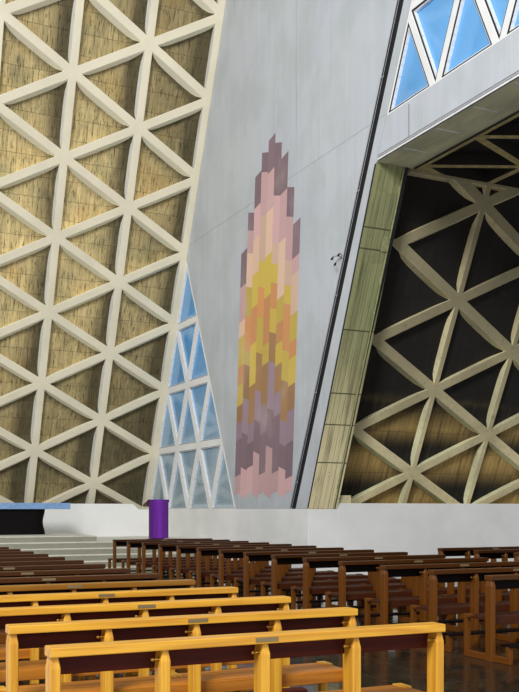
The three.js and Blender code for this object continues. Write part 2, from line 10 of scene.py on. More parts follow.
import bmesh
import bpy
import numpy as np
from bpy.props import FloatProperty, FloatVectorProperty, IntProperty, PointerProperty
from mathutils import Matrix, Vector


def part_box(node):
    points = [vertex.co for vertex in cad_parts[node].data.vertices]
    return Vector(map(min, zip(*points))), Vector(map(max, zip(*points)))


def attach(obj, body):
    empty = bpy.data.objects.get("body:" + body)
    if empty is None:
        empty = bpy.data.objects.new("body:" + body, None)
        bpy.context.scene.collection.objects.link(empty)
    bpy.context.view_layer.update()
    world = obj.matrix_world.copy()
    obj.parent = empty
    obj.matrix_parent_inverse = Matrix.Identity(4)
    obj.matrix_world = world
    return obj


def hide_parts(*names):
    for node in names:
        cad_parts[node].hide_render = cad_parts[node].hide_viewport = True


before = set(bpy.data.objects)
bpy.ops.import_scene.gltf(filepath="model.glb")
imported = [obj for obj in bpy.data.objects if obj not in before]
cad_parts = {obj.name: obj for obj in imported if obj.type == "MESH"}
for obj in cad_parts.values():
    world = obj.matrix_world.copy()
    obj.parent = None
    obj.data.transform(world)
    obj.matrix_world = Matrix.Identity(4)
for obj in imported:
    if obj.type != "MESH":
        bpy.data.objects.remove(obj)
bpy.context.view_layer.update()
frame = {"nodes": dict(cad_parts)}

bl_info = {
    "name": "Church sanctuary bay",
    "version": (1, 0, 0),
    "blender": (4, 5, 0),
    "location": "View3D > Sidebar > Church",
    "description": "Concrete lattice walls, windows, steps, altar and pews of a church sanctuary",
    "category": "Object",
}

BODY = "root"
SEED = 7

# Points closer than this are merged. Faces that turn by less than the first angle are one flat
# face, and edges that turn by more than the second are rounded.
SAME_POINT = 1e-5
FLAT_TURN = 0.002
ARRIS_TURN = math.radians(25)

# Places read from the frame
NAVE_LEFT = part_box("nave_floor")[0].x
FLOOR_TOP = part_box("nave_floor")[1].z
LOW_WALL_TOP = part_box("side_low_wall")[1].z
WALL_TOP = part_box("end_wall_ribs")[1].z
LEAN = -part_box("end_wall_ribs")[0].y / WALL_TOP
SIDE_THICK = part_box("side_wall_lower")[1].x
BEAM_LOW, BEAM_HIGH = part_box("ring_beam")
BAY_MIDDLE = (BEAM_LOW.y + BEAM_HIGH.y) / 2
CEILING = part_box("aisle_ceiling_ribs")[0].z
AISLE_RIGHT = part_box("aisle_end_slab")[1].x
AISLE_LOW_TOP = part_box("aisle_low_wall")[1].z

# Lattices of ribs: the first column, the pitch, a node's level, the rise from row to row, the
# widths of the upright and slanted ribs, and how deep the coffers' board-marked floors reach
LATTICE_RISE = 0.952
END_LATTICE = (NAVE_LEFT, 1.926, 0.687, LATTICE_RISE, 0.2, 0.2, 0.235)
AISLE_LATTICE = (1.166, 1.913, -0.191, LATTICE_RISE, 0.13, 0.2, 0.185)
FLOOR_DROP = 4.5
SHALLOWEST = 0.03
ROWS_PER_BOARD = 5
END_BACK = 0.3
AISLE_BACK = 0.27
AISLE_LEAN = 0.4737
AISLE_FACE = -9.928

# Lines on the side wall
WINDOW_RIGHT = -7.65
WINDOW_APEX = 9.038
WINDOW_BARS = {"level": 0.19, "slanted": 0.17, "bottom": 0.02, "side": 0.045}
WINDOW_BAR_DEPTH = 0.06
CLERESTORY_ZERO = 9.255
CLERESTORY_HALF = 3.5
CLERESTORY_BARS = {"level": 0.155, "slanted": 0.155, "bottom": 0.12, "side": 0.12}
CLERESTORY_DEPTH = 0.085
CLERESTORY_SILL = 0.03
CLERESTORY_HEAD = 16.25
GRID_ROWS = 4
CHANNEL_AT_BASE = -10.78
CHANNEL_SLOPE = 0.457
SLOT = 0.09
STAND_OUT = 0.004
JAMB_AT_BASE = -11.6
JAMB_AT_BEAM = -14.42
JAMB_SLOPE = (JAMB_AT_BASE - JAMB_AT_BEAM) / (BEAM_LOW.z - LOW_WALL_TOP)

# Painting on the side wall, from its altar side to its nave side
PAINTING_SIDES = (-7.55, -10.78)
PAINTING_STRIPS = 9
PAINTING_LEAN = 0.07

# Formwork lifts on the raking posts, and the joints on the side wall and ring beam
JAMB_LIFTS = (2.82, 3.63, 4.28, 5.55, 7.1, 7.49)
WALL_LIFT = 9.46
BEAM_JOINT = -15.54
SOFFIT_STRIP_FIRST = -15.28
SOFFIT_STRIP_PITCH = 1.05

# Pews: one pew stands on the floor with its own origin under the rail's middle, at its left end
PEW_LENGTH = 2.42
PEW_PITCH = 1.02
PEW_POSTS = 5
PEW_POST = 0.056
PEW_HEIGHT = 0.9
PEW_RAIL = 0.05
RAIL_HALF = 0.065
POST_HALF = 0.053
RAIL_UNDER = PEW_HEIGHT - PEW_RAIL

# Low and high sides of the pew's timbers, as [y, z]
BACK_BOARD = ((0.046, 0.745), (0.066, RAIL_UNDER + 0.004))
APRON = ((0.048, 0.37), (0.07, 0.45))
SKID = ((-0.33, 0.0), (0.42, 0.07))
FRONT_POST = ((0.364, 0.06), (0.42, 0.43))
POST_CAP = ((0.3, 0.426), (0.428, 0.462))
KNEELER_POST = ((-0.33, 0.06), (-0.274, 0.185))
PLATE = ((-RAIL_HALF - 0.003, RAIL_UNDER + 0.012), (-RAIL_HALF + 0.002, RAIL_UNDER + 0.038))
PLATE_HALF = 0.07

# Blocks of pews: the first pew's place, how many stand in the frame, and how many more beyond
LEFT_BLOCK = (-9.22, -25.82)
LEFT_ROWS = 12
LEFT_EXTRA_ROWS = 3
MIDDLE_BLOCK = (-3.79, -22.55)
MIDDLE_ROWS = 13
MIDDLE_EXTRA_ROWS = 1
AISLE_BLOCK = (0.05, -21.53)
AISLE_ROWS = 6

# Where painted shade turns the pews brown and then darker towards the altar, and brown across the nave
SHADED_ROWS = (-22.9, -20.8)
DEEP_SHADE_ROWS = (-21.5, -16.5)
SHADED_BLOCK = (-4.6, -3.9)

# Small fittings: the lamp's plate on the side wall, the repair patch on a jamb and the block on
# the aisle's low wall, the last two by their low and high corners
LAMP_PLACE = (0.0, -13.12, 7.05)
PATCH = ((0.5, 0.0, 7.08), (0.66, 0.03, 7.36))
FOOT_BLOCK = ((SIDE_THICK + 0.02, -11.58, AISLE_LOW_TOP), (1.13, -11.33, AISLE_LOW_TOP + 0.18))

# Lectern: the column's corners, the sloped board's thickness and fall, the middle of the cloth's
# painted highlight, and how many radians of its threads lie in a metre
LECTERN_COLUMN = ((-1.72, -6.02), (-1.38, -5.76))
LECTERN_BOARD = 0.06
LECTERN_DROP = 0.13
CLOTH_MIDDLE = 0.27
THREADS = 2600.0

# Camera at a standing eye's height in the left rear of the nave
CAMERA_PLACE = (-10.39, -30.75, 1.8)
CAMERA_YAW = math.radians(-25.62)
CAMERA_LENS = 50.7
CAMERA_SENSOR = 36.0
CAMERA_SHIFT = 0.2355

# Stage: the floor's half side and level, and each light's place, target, side and power
STAGE_HALF = 150.0
STAGE_LEVEL = -0.02
SKY = (0.86, 0.88, 0.92)
SKY_STRENGTH = 0.52
LIGHTS = {
    "key": ((-20.0, -36.0, 18.0), (-1.0, -9.0, 6.0), 7.0, 7200.0),
    "fill": ((-6.0, -42.0, 9.0), (-3.0, -10.0, 4.0), 16.0, 700.0),
}


def linear(red, green, blue):
    """The linear colour of a screen colour given as three whole numbers from 0 to 255."""
    screen = np.array([red, green, blue]) / 255
    low = screen / 12.92
    high = ((screen + 0.055) / 1.055) ** 2.4
    return tuple(float(x) for x in np.where(screen <= 0.04045, low, high))


# Shapes worked out as arrays
BOX_CORNERS = np.array([[k & 1, k >> 1 & 1, k >> 2 & 1] for k in range(8)], bool)
BOX_FACES = np.array(
    [[0, 2, 3, 1], [4, 5, 7, 6], [0, 1, 5, 4], [2, 6, 7, 3], [0, 4, 6, 2], [1, 3, 7, 5]]
)


def volume(points, faces):
    """Signed volume inside faces: a sixth of the triple product of each triangle of each fan."""
    total = 0.0
    for rows in faces:
        for k in range(1, rows.shape[1] - 1):
            a, b, c = points[rows[:, 0]], points[rows[:, k]], points[rows[:, k + 1]]
            total += np.einsum("ij,ij->", a, np.cross(b, c)) / 6
    return total


class Shape:
    """Points, faces, material numbers and grain of one mesh, gathered solid by solid."""

    def __init__(self):
        self.points = []
        self.grains = []
        self.corners = []
        self.counts = []
        self.materials = []
        self.total = 0

    def add(self, points, faces, material=0, grain=None, closed=True):
        """Adds a solid. Faces come as arrays with one row a face, and a closed solid is turned
        so that its volume is positive and its faces point out."""
        points = np.asarray(points, float).reshape(-1, 3)
        faces = [np.atleast_2d(rows) for rows in faces]
        if closed and volume(points - points.mean(0), faces) < 0:
            faces = [rows[:, ::-1] for rows in faces]
        for rows in faces:
            self.corners.append((rows + self.total).ravel())
            self.counts.append(np.full(len(rows), rows.shape[1]))
            self.materials.append(np.full(len(rows), material))
        self.points.append(points)
        self.grains.append(points if grain is None else grain)
        self.total += len(points)

    def include(self, other, offset, material_shift=0, grain_shift=(0, 0, 0)):
        """Adds a copy of another shape, moved by an offset."""
        for corners in other.corners:
            self.corners.append(corners + self.total)
        self.counts += other.counts
        self.materials += [numbers + material_shift for numbers in other.materials]
        self.points += [points + np.asarray(offset) for points in other.points]
        self.grains += [grain + np.asarray(grain_shift) for grain in other.grains]
        self.total += other.total

    def build(self, name, materials, slot=None, replaces=(), smooth=False, with_grain=False):
        """Puts the arrays into a mesh object that rides on the body."""
        mesh = bpy.data.meshes.new(name)
        points = np.concatenate(self.points)
        corners = np.concatenate(self.corners)
        counts = np.concatenate(self.counts)
        starts = np.concatenate([[0], np.cumsum(counts)[:-1]])
        mesh.vertices.add(len(points))
        mesh.loops.add(len(corners))
        mesh.polygons.add(len(counts))
        mesh.vertices.foreach_set("co", points.astype(np.float32).ravel())
        mesh.loops.foreach_set("vertex_index", corners.astype(np.int32))
        mesh.polygons.foreach_set("loop_start", starts.astype(np.int32))
        mesh.update(calc_edges=True)
        numbers = np.concatenate(self.materials).astype(np.int32)
        mesh.polygons.foreach_set("material_index", numbers)
        mesh.polygons.foreach_set("use_smooth", np.full(len(counts), smooth))
        if with_grain:
            grain = mesh.attributes.new("grain", "FLOAT_VECTOR", "POINT")
            values = np.concatenate(self.grains).astype(np.float32)
            grain.data.foreach_set("vector", values.ravel())
        mesh.validate()
        return add_piece(name, mesh, materials, replaces)


def add_piece(name, mesh, materials, replaces=()):
    """An object for a mesh whose place is in its points, riding on the one body."""
    piece = bpy.data.objects.new(name, mesh)
    bpy.context.scene.collection.objects.link(piece)
    for material in materials:
        mesh.materials.append(material)
    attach(piece, BODY)
    if replaces:
        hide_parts(*replaces)
    return piece


def boxes(lows, highs):
    """Closed boxes between pairs of corners: corner k takes the low or high value on each axis
    by the bits of k."""
    points = np.where(BOX_CORNERS[None], highs[:, None], lows[:, None])
    first = 8 * np.arange(len(lows))[:, None, None]
    return points.reshape(-1, 3), [(BOX_FACES[None] + first).reshape(-1, 4)]


def grid_faces(rows, columns, wrap_columns=False, wrap_rows=False):
    """Quads of a grid of points held row by row, closed round either way if asked."""
    i = np.arange(rows if wrap_rows else rows - 1)[:, None]
    j = np.arange(columns if wrap_columns else columns - 1)[None, :]
    i2 = (i + 1) % rows
    j2 = (j + 1) % columns
    quads = [i * columns + j, i * columns + j2, i2 * columns + j2, i2 * columns + j]
    return np.stack([np.broadcast_to(q, (len(i), j.shape[1])) for q in quads], -1).reshape(-1, 4)


def tube_faces(stations, around):
    """Faces of a closed section carried along a line, with a flat cap at each end."""
    last = (stations - 1) * around
    caps = [np.arange(around)[::-1][None], (last + np.arange(around))[None]]
    return [grid_faces(stations, around, wrap_columns=True), *caps]


def timber(axis, stations, cut):
    """A timber along an axis. Each station gives its place on the axis and the low and high
    sides of its rectangle, whose four corners are cut off by the same distance."""
    place, b0, b1, c0, c1 = np.asarray(stations, float).T
    points = np.empty((len(place), 8, 3))
    points[..., axis] = place[:, None]
    sides_b = [b1, b1, b1 - cut, b0 + cut, b0, b0, b0 + cut, b1 - cut]
    sides_c = [c0 + cut, c1 - cut, c1, c1, c1 - cut, c0 + cut, c0, c0]
    points[..., (axis + 1) % 3] = np.stack(sides_b, 1)
    points[..., (axis + 2) % 3] = np.stack(sides_c, 1)
    return points.reshape(-1, 3), tube_faces(len(place), 8)


def plank(axis, low, high, cut):
    """A timber between two corners, whose section shrinks by the cut at both ends."""
    b, c = (axis + 1) % 3, (axis + 2) % 3
    sides = np.array([low[b], high[b], low[c], high[c]])
    inner = sides + cut * np.array([1, -1, 1, -1])
    stations = [
        (low[axis], *inner),
        (low[axis] + cut, *sides),
        (high[axis] - cut, *sides),
        (high[axis], *inner),
    ]
    return timber(axis, stations, cut)


def pipe(path, radius, sides=10):
    """A round pipe: a circle carried along a path, in the plane square to it at each point."""
    path = np.asarray(path, float)
    ahead = np.gradient(path, axis=0)
    ahead /= np.linalg.norm(ahead, axis=1)[:, None]
    aside = np.cross(ahead, np.where(np.abs(ahead[:, 2:]) > 0.9, [[1, 0, 0]], [[0, 0, 1]]))
    aside /= np.linalg.norm(aside, axis=1)[:, None]
    up = np.cross(aside, ahead)
    angle = 2 * np.pi * np.arange(sides) / sides
    circle = np.cos(angle)[None, :, None] * aside[:, None] + np.sin(angle)[None, :, None] * up[:, None]
    points = path[:, None] + radius * circle
    return points.reshape(-1, 3), tube_faces(len(path), sides)


def between(sides, x0, x1):
    """Low and high corners of a box from its low and high sides as [y, z] and its two ends."""
    low, high = sides
    return (x0, *low), (x1, *high)


def carried(section, low, high):
    """A closed section of [y, z] points carried along x from one place to another."""
    points = np.empty((2, len(section), 3))
    points[..., 0] = np.array([low, high])[:, None]
    points[..., 1:] = section
    return points.reshape(-1, 3), tube_faces(2, len(section))


def along_grain(points, axis):
    """Grain of a timber whose length runs along an axis."""
    return points[:, [axis, (axis + 1) % 3, (axis + 2) % 3]]


def mirrored(points):
    """The same points across the middle of the side bay."""
    turned = np.array(points, float)
    turned[:, 1] = 2 * BAY_MIDDLE - turned[:, 1]
    return turned


def end_face(z):
    """Y of the end wall's front face at a height."""
    return -LEAN * z


def channel_line(z):
    """Y of the service channel's altar side at a height."""
    return CHANNEL_AT_BASE - CHANNEL_SLOPE * (z - LOW_WALL_TOP)


def jamb_line(z):
    """Y of the far jamb face at a height."""
    return JAMB_AT_BASE - JAMB_SLOPE * (z - LOW_WALL_TOP)


# Panes of the triangular windows, as [y, z] polygons
def inset_triangle(corners, distances):
    """A triangle with each side moved in by its own distance, the first side running from corner
    0 to corner 1: neighbouring sides meet again at new corners."""
    corners = np.asarray(corners, float)
    along = np.roll(corners, -1, 0) - corners
    along /= np.linalg.norm(along, axis=1)[:, None]
    normal = np.stack([-along[:, 1], along[:, 0]], 1)
    normal *= np.sign(np.einsum("ij,ij->i", corners.mean(0) - corners, normal))[:, None]
    moved = corners + np.asarray(distances)[:, None] * normal
    offset = np.einsum("ij,ij->i", moved, normal)
    before = np.roll(np.arange(len(corners)), 1)
    pairs = np.stack([normal[before], normal], 1)
    return np.linalg.solve(pairs, np.stack([offset[before], offset], 1)[..., None])[..., 0]


def inward(polygon, distance):
    """A convex polygon with every side moved in by the same distance."""
    return inset_triangle(polygon, np.full(len(polygon), distance))


def divided_triangle(a, b, c, parts, bars):
    """Panes of a big triangle whose sides are divided in equal parts. The side from a to b is
    its bottom, and the bars along it and along the other two sides have their own widths."""
    a, b, c = np.array(a), np.array(b), np.array(c)

    def node(i, j):
        """A crossing of the bars: i parts along the bottom and j parts up."""
        return a + (b - a) * i / parts + (c - a) * j / parts

    level, slanted = bars["level"] / 2, bars["slanted"] / 2
    panes = []
    for j in range(parts):
        for i in range(parts - j):
            last = i + j == parts - 1
            bottom = level if j else bars["bottom"]
            left = slanted if i else bars["side"]
            sides = (bottom, bars["side"] if last else slanted, left)
            panes.append(inset_triangle([node(i, j), node(i + 1, j), node(i, j + 1)], sides))
            if not last:
                hanging = [node(i + 1, j), node(i + 1, j + 1), node(i, j + 1)]
                panes.append(inset_triangle(hanging, (slanted, level, slanted)))
    return panes


def clip_level(polygon, level, keep):
    """The part of a polygon above or below a level."""
    result = []
    for p, q in zip(polygon, np.roll(polygon, -1, 0)):
        inside, next_inside = keep * (p[1] - level) >= 0, keep * (q[1] - level) >= 0
        if inside:
            result.append(p)
        if inside != next_inside:
            result.append(p + (q - p) * (level - p[1]) / (q[1] - p[1]))
    return np.array(result)


def window_ring(polygon, outer, inner, x0, x1):
    """A frame round a pane: a rectangle carried round the polygon, between two distances in
    from its sides and two depths."""
    far, near = inward(polygon, outer), inward(polygon, inner)
    sections = [(far, x0), (near, x0), (near, x1), (far, x1)]
    points = [np.column_stack([np.full(len(side), x), side]) for side, x in sections]
    points = np.stack(points, 1)
    count = len(polygon)
    return points.reshape(-1, 3), [grid_faces(count, 4, wrap_columns=True, wrap_rows=True)]


# Shader formulas
class Number:
    """A shader number. Arithmetic on it adds Math nodes, so that a pattern reads as a formula."""

    def __init__(self, paint, socket):
        self.paint = paint
        self.socket = socket

    def math(self, operation, other=0.0, swap=False):
        """A Math node on this number and another, in either order."""
        pair = (other, self) if swap else (self, other)
        inputs = {0: pair[0], 1: pair[1]}
        node = self.paint.node("ShaderNodeMath", {"operation": operation}, inputs)
        return Number(self.paint, node.outputs[0])

    def __add__(self, other):
        return self.math("ADD", other)

    def __sub__(self, other):
        return self.math("SUBTRACT", other)

    def __rsub__(self, other):
        return self.math("SUBTRACT", other, swap=True)

    def __mul__(self, other):
        return self.math("MULTIPLY", other)

    def __truediv__(self, other):
        return self.math("DIVIDE", other)

    def __abs__(self):
        return self.math("ABSOLUTE")

    __radd__ = __add__
    __rmul__ = __mul__

    def floor(self):
        """The whole number at or below this one."""
        return self.math("FLOOR")

    def fraction(self):
        """What this number has over the whole number below it."""
        return self.math("FRACT")

    def sine(self):
        """The sine of this number, taken as an angle in radians."""
        return self.math("SINE")

    def least(self, other):
        """The smaller of two numbers."""
        return self.math("MINIMUM", other)

    def most(self, other):
        """The larger of two numbers."""
        return self.math("MAXIMUM", other)

    def smooth(self, low, high):
        """0 below low, 1 above high, and a smooth step between."""
        settings = {"interpolation_type": "SMOOTHSTEP"}
        inputs = {"Value": self, "From Min": low, "From Max": high}
        node = self.paint.node("ShaderNodeMapRange", settings, inputs)
        return Number(self.paint, node.outputs[0])


class Paint:
    """A material whose nodes are all made one way, ending in the Principled shader."""

    def __init__(self, name, constants=None):
        self.material = bpy.data.materials.new(name)
        self.material.use_nodes = True
        self.tree = self.material.node_tree
        self.shader = self.tree.nodes["Principled BSDF"]
        for socket, value in (constants or {}).items():
            self.shader.inputs[socket].default_value = value

    def node(self, kind, settings=None, inputs=None):
        """A node of a kind, with its settings made first and then its sockets' values or links."""
        node = self.tree.nodes.new(kind)
        for key, value in (settings or {}).items():
            setattr(node, key, value)
        for key, value in (inputs or {}).items():
            self.feed(node.inputs[key], value)
        return node

    def feed(self, socket, value):
        """Links a number or output to a socket, or sets the socket to a plain value."""
        if isinstance(value, Number):
            value = value.socket
        if isinstance(value, bpy.types.NodeSocket):
            self.tree.links.new(value, socket)
        elif socket.type == "RGBA":
            socket.default_value = (*value, 1.0)
        else:
            socket.default_value = value

    def place(self):
        """Object coordinates as x, y and z."""
        return self.split(self.node("ShaderNodeTexCoord").outputs["Object"])

    def grain(self):
        """The piece's own grain attribute as along, across and through."""
        settings = {"attribute_name": "grain"}
        return self.split(self.node("ShaderNodeAttribute", settings).outputs["Vector"])

    def facing(self):
        """The surface's own normal as x, y and z."""
        return self.split(self.node("ShaderNodeNewGeometry").outputs["Normal"])

    def split(self, vector):
        """The three numbers of a vector."""
        node = self.node("ShaderNodeSeparateXYZ", None, {0: vector})
        return [Number(self, output) for output in node.outputs]

    def join(self, x, y, z):
        """A vector from three numbers."""
        return self.node("ShaderNodeCombineXYZ", None, {0: x, 1: y, 2: z}).outputs[0]

    def noise(self, x, y, z, scale=1.0, detail=4.0, roughness=0.55):
        """Fractal noise, from 0 to 1 and mostly near a half."""
        inputs = {"Vector": self.join(x, y, z), "Scale": scale}
        inputs |= {"Detail": detail, "Roughness": roughness}
        return Number(self, self.node("ShaderNodeTexNoise", None, inputs).outputs[0])

    def chance(self, x, y):
        """A random number for each whole place."""
        inputs = {"Vector": self.join(x, y, 0.0)}
        settings = {"noise_dimensions": "3D"}
        return Number(self, self.node("ShaderNodeTexWhiteNoise", settings, inputs).outputs[0])

    def speckle(self, x, y, z, scale):
        """Distance to the nearest of scattered points."""
        inputs = {"Vector": self.join(x, y, z), "Scale": scale}
        return Number(self, self.node("ShaderNodeTexVoronoi", None, inputs).outputs["Distance"])

    def mix(self, factor, first, second):
        """A colour between two colours."""
        settings = {"data_type": "RGBA", "blend_type": "MIX"}
        node = self.node("ShaderNodeMix", settings, {0: factor, 6: first, 7: second})
        return node.outputs[2]

    def finish(self, colour, roughness=None, height=None, depth=0.004, strength=0.6):
        """Feeds the shader with what varies, and returns the material."""
        self.feed(self.shader.inputs["Base Color"], colour)
        if roughness is not None:
            self.feed(self.shader.inputs["Roughness"], roughness)
        if height is not None:
            inputs = {"Height": height, "Distance": depth, "Strength": strength}
            bump = self.node("ShaderNodeBump", None, inputs)
            self.feed(self.shader.inputs["Normal"], bump.outputs[0])
        return self.material


def board_marks(paint, across, up, width, lift, zero):
    """Tone of each formwork board, and how near a point is to a seam between boards or lifts."""
    column = across / width
    row = (up - zero) / lift
    tone = paint.chance(column.floor(), row.floor())
    seam = abs(column.fraction() - 0.5).smooth(0.44, 0.5)
    joint = abs(row.fraction() - 0.5).smooth(0.485, 0.5)
    return tone, seam, joint


def scaled(colour, factor):
    """A colour made darker or lighter."""
    return tuple(min(1.0, c * factor) for c in colour)


def cream_material(colours):
    """Painted ribs: warm cream with faint clouds and hair cracks of dirt. The reveals carry painted
    light, lighter than the faces, and painted shade, greyer on the side that no window lights."""
    paint = Paint("cream_concrete")
    x, y, z = paint.place()
    cloud = paint.noise(x, y, z, 0.9, 5.0)
    streak = paint.noise(x * 9, y * 9, z * 1.5, 1.0, 5.0, 0.6)
    grime = paint.noise(x * 3, y * 3, z * 3, 2.2, 8.0, 0.7).smooth(0.56, 0.78)
    grit = paint.noise(x, y, z, 60.0, 3.0)
    out_x, out_y, _ = paint.facing()
    # Painted light: the reveals take a lighter colour than the faces, and painted shade makes the
    # reveals that face -x greyer.
    front = abs(out_y).smooth(0.6, 0.85)
    turned = (0.0 - out_x).smooth(0.6, 0.9)
    face = paint.mix(cloud.smooth(0.3, 0.7), scaled(colours.cream, 0.9), colours.cream)
    dim = paint.mix(streak.smooth(0.45, 0.7), colours.reveal_dark, scaled(colours.reveal_dark, 0.82))
    side = paint.mix(turned, colours.reveal, dim)
    base = paint.mix(front, side, face)
    stained = paint.mix(grime * 0.22, base, scaled(colours.reveal, 0.7))
    return paint.finish(stained, 0.7 + 0.2 * cloud, grit + 2.0 * cloud, 0.003, 0.5)


def tan_material(colours, board):
    """Coffer floors: yellow-tan board-marked concrete with a tone for each board, ochre and grey-green
    blotches, and the painted shadow that the grain attribute holds, broken by streaks. Short dark
    upright dashes, lifts, cracks and pits show through it. Painted shade also makes the wall dimmest
    low down, near the corner and at the top."""
    paint = Paint("tan_concrete")
    x, y, z = paint.place()
    tone, seam, joint = board_marks(paint, x, z, board, LATTICE_RISE / 2, END_LATTICE[2])
    dash = paint.noise(x * 27, 0.0, z * 3.4, 1.0, 4.0, 0.6).smooth(0.56, 0.63)
    streak = paint.noise(x * 16, 3.0, z * 1.8, 1.0, 6.0, 0.65)
    blotch = paint.noise(x, 5.0, z, 0.95, 5.0, 0.6)
    moss = paint.noise(x, 9.0, z, 0.8, 5.0, 0.6)
    crack = abs(paint.noise(x * 0.8, 2.0, z * 1.4, 1.0, 6.0, 0.6) - 0.5)
    pits = paint.speckle(x, y, z, 24.0).smooth(0.12, 0.02)
    # Painted shadow beside the ribs comes from the grain; painted shade also darkens the wall low
    # down, near the corner and at the top.
    held, _, _ = paint.grain()
    dim = (1 - z.smooth(3.0, 8.8)) * 0.56 + z.smooth(10.5, 13.0) * 0.3
    dim = dim + x.smooth(-2.8, -0.8) * 0.32
    coffer_shade = held * (0.48 + 0.8 * streak) + dim
    toned = paint.mix(tone, scaled(colours.tan, 0.74), colours.tan)
    warm = paint.mix(blotch.smooth(0.52, 0.68) * 0.4, toned, colours.ochre)
    mossy = paint.mix(moss.smooth(0.5, 0.68) * 0.6, warm, colours.moss)
    streaked = paint.mix(streak.smooth(0.52, 0.68) * 0.6, mossy, colours.tan_dark)
    shaded = paint.mix(coffer_shade.least(0.88), streaked, colours.coffer_shade)
    dashed = paint.mix(dash * 0.7, shaded, scaled(colours.tan_dark, 0.4))
    lined = paint.mix((seam * 0.4).most(joint * 0.75), dashed, scaled(colours.tan_dark, 0.4))
    cracked = paint.mix((1 - crack.smooth(0.0, 0.004)) * 0.5, lined, scaled(colours.tan_dark, 0.5))
    marked = paint.mix(pits * 0.6, cracked, scaled(colours.tan_dark, 0.5))
    height = tone * 0.8 - dash - seam * 1.5 - joint * 2.5 - pits
    return paint.finish(marked, 0.82 + 0.12 * streak, height, 0.004, 0.7)


def white_marks(paint, colours):
    """Colour and height of painted board-marked concrete: faint upright boards, soft clouds,
    grey-green run marks and one lift joint."""
    board, lift_height, first_lift = 0.12, 3.0, 0.46
    x, y, z = paint.place()
    across = x + y
    tone, seam, _ = board_marks(paint, across, z, board, lift_height, first_lift)
    streak = paint.noise(across * 20, 0.0, z * 0.35, 1.0, 6.0, 0.65)
    cloud = paint.noise(across * 0.35, 0.0, z * 0.3, 1.0, 3.0)
    run = paint.noise(across * 3.2, 0.0, z * 0.12, 1.0, 3.0).smooth(0.62, 0.78)
    wobble = 0.03 * paint.noise(across, 0.0, 0.0, 2.0, 2.0)
    lift = 1 - abs(z + wobble - WALL_LIFT - 0.015).smooth(0.008, 0.022)
    patchy = paint.noise(across * 0.9, 7.0, z * 0.7, 1.0, 3.0).smooth(0.4, 0.65)
    base = paint.mix(tone * 0.2 + streak * 0.8, scaled(colours.white, 0.8), colours.white)
    cloudy = paint.mix(cloud.smooth(0.35, 0.65) * 0.4, base, colours.lilac)
    washed = paint.mix(run * 0.6 + patchy * 0.25, cloudy, colours.run)
    lined = paint.mix((seam * patchy * 0.25).most(lift * 0.2), washed, scaled(colours.lilac, 0.5))
    height = streak + tone * 0.5 - seam - lift * 2
    return lined, height


def white_material(colours):
    """Painted walls, beam and window bars."""
    paint = Paint("white_concrete")
    colour, height = white_marks(paint, colours)
    return paint.finish(colour, 0.78, height, 0.003, 0.45)


def plaster_material(colours):
    """Low walls: plain warm white paint with soft clouds and a few scuffs near the floor."""
    paint = Paint("plain_plaster")
    x, y, z = paint.place()
    cloud = paint.noise(x, y, z, 0.9, 4.0)
    scuff = paint.noise(x * 2, y * 2, z * 9, 2.0, 6.0, 0.7).smooth(0.6, 0.75)
    low = 1 - z.smooth(0.4, 1.2)
    base = paint.mix(cloud.smooth(0.3, 0.7), scaled(colours.plaster, 0.9), colours.plaster)
    scuffed = paint.mix(scuff * low * 0.5, base, scaled(colours.plaster, 0.55))
    return paint.finish(scuffed, 0.7 + 0.15 * cloud, cloud - scuff, 0.002, 0.3)


def raw_material(colours):
    """Aisle ribs: brownish bare concrete in front with a grain of boards. Painted light makes the
    reveals warm cream and brightens faces and reveals towards the floor."""
    paint = Paint("raw_concrete")
    x, y, z = paint.place()
    streak = paint.noise(x * 9, y * 9, z * 9, 1.0, 6.0, 0.65)
    cloud = paint.noise(x, y, z, 0.8, 4.0)
    holes = paint.speckle(x, y, z, 5.5).smooth(0.06, 0.02)
    # Painted light: faces and reveals brighten towards the floor, the reveals most.
    low = 1 - z.smooth(2.5, 6.5)
    front = abs(paint.facing()[1]).smooth(0.6, 0.85)
    face = paint.mix(low * 0.95, colours.raw, colours.raw_low)
    reveal = paint.mix(low, scaled(colours.raw_low, 0.9), scaled(colours.raw_low, 1.25))
    base = paint.mix(front, reveal, face)
    toned = paint.mix(cloud.smooth(0.35, 0.7) * 0.5, base, scaled(colours.raw, 0.7))
    streaked = paint.mix(streak.smooth(0.52, 0.8) * 0.55, toned, scaled(colours.raw, 0.42))
    marked = paint.mix(holes * 0.6, streaked, scaled(colours.raw, 0.3))
    return paint.finish(marked, 0.88, streak - holes * 2, 0.003, 0.6)


def jamb_marks(paint, colours, board):
    """Colour and height of the greenish board-marked jambs: a tone for each board in each lift, dark
    upright streaks, knots, and a lighter, yellower tone low down."""
    lift_height, first_lift = 1.3, 0.35
    x, _, z = paint.place()
    tone, seam, _ = board_marks(paint, x, z, board, lift_height, first_lift)
    streak = paint.noise(x * 26, 0.0, z * 1.1, 1.0, 6.0, 0.7)
    drip = paint.noise(x * 7, 4.0, z * 0.35, 1.0, 4.0)
    knots = paint.speckle(x * 3, 0.0, z, 3.2).smooth(0.1, 0.03)
    low = 1 - z.smooth(2.2, 6.0)
    toned = paint.mix(tone, scaled(colours.jamb, 0.82), scaled(colours.jamb, 1.15))
    yellow = paint.mix(low, toned, colours.raw_low)
    dripped = paint.mix(drip.smooth(0.5, 0.72) * 0.6, yellow, colours.jamb_dark)
    streaked = paint.mix(streak.smooth(0.5, 0.72) * 0.75, dripped, colours.jamb_dark)
    lifts = [1 - abs(z - level).smooth(0.006, 0.02) for level in JAMB_LIFTS]
    lift = functools.reduce(Number.most, lifts)
    marks = (seam * 0.75).most(knots * 0.8).most(lift * 0.8)
    lined = paint.mix(marks, streaked, scaled(colours.jamb_dark, 0.5))
    height = streak - knots * 2 - seam * 2 - lift
    return lined, height


def jamb_material(colours, board):
    """The boards' own marks on the jambs."""
    paint = Paint("jamb_boards")
    bare, height = jamb_marks(paint, colours, board)
    return paint.finish(bare, 0.86, height, 0.003, 0.5)


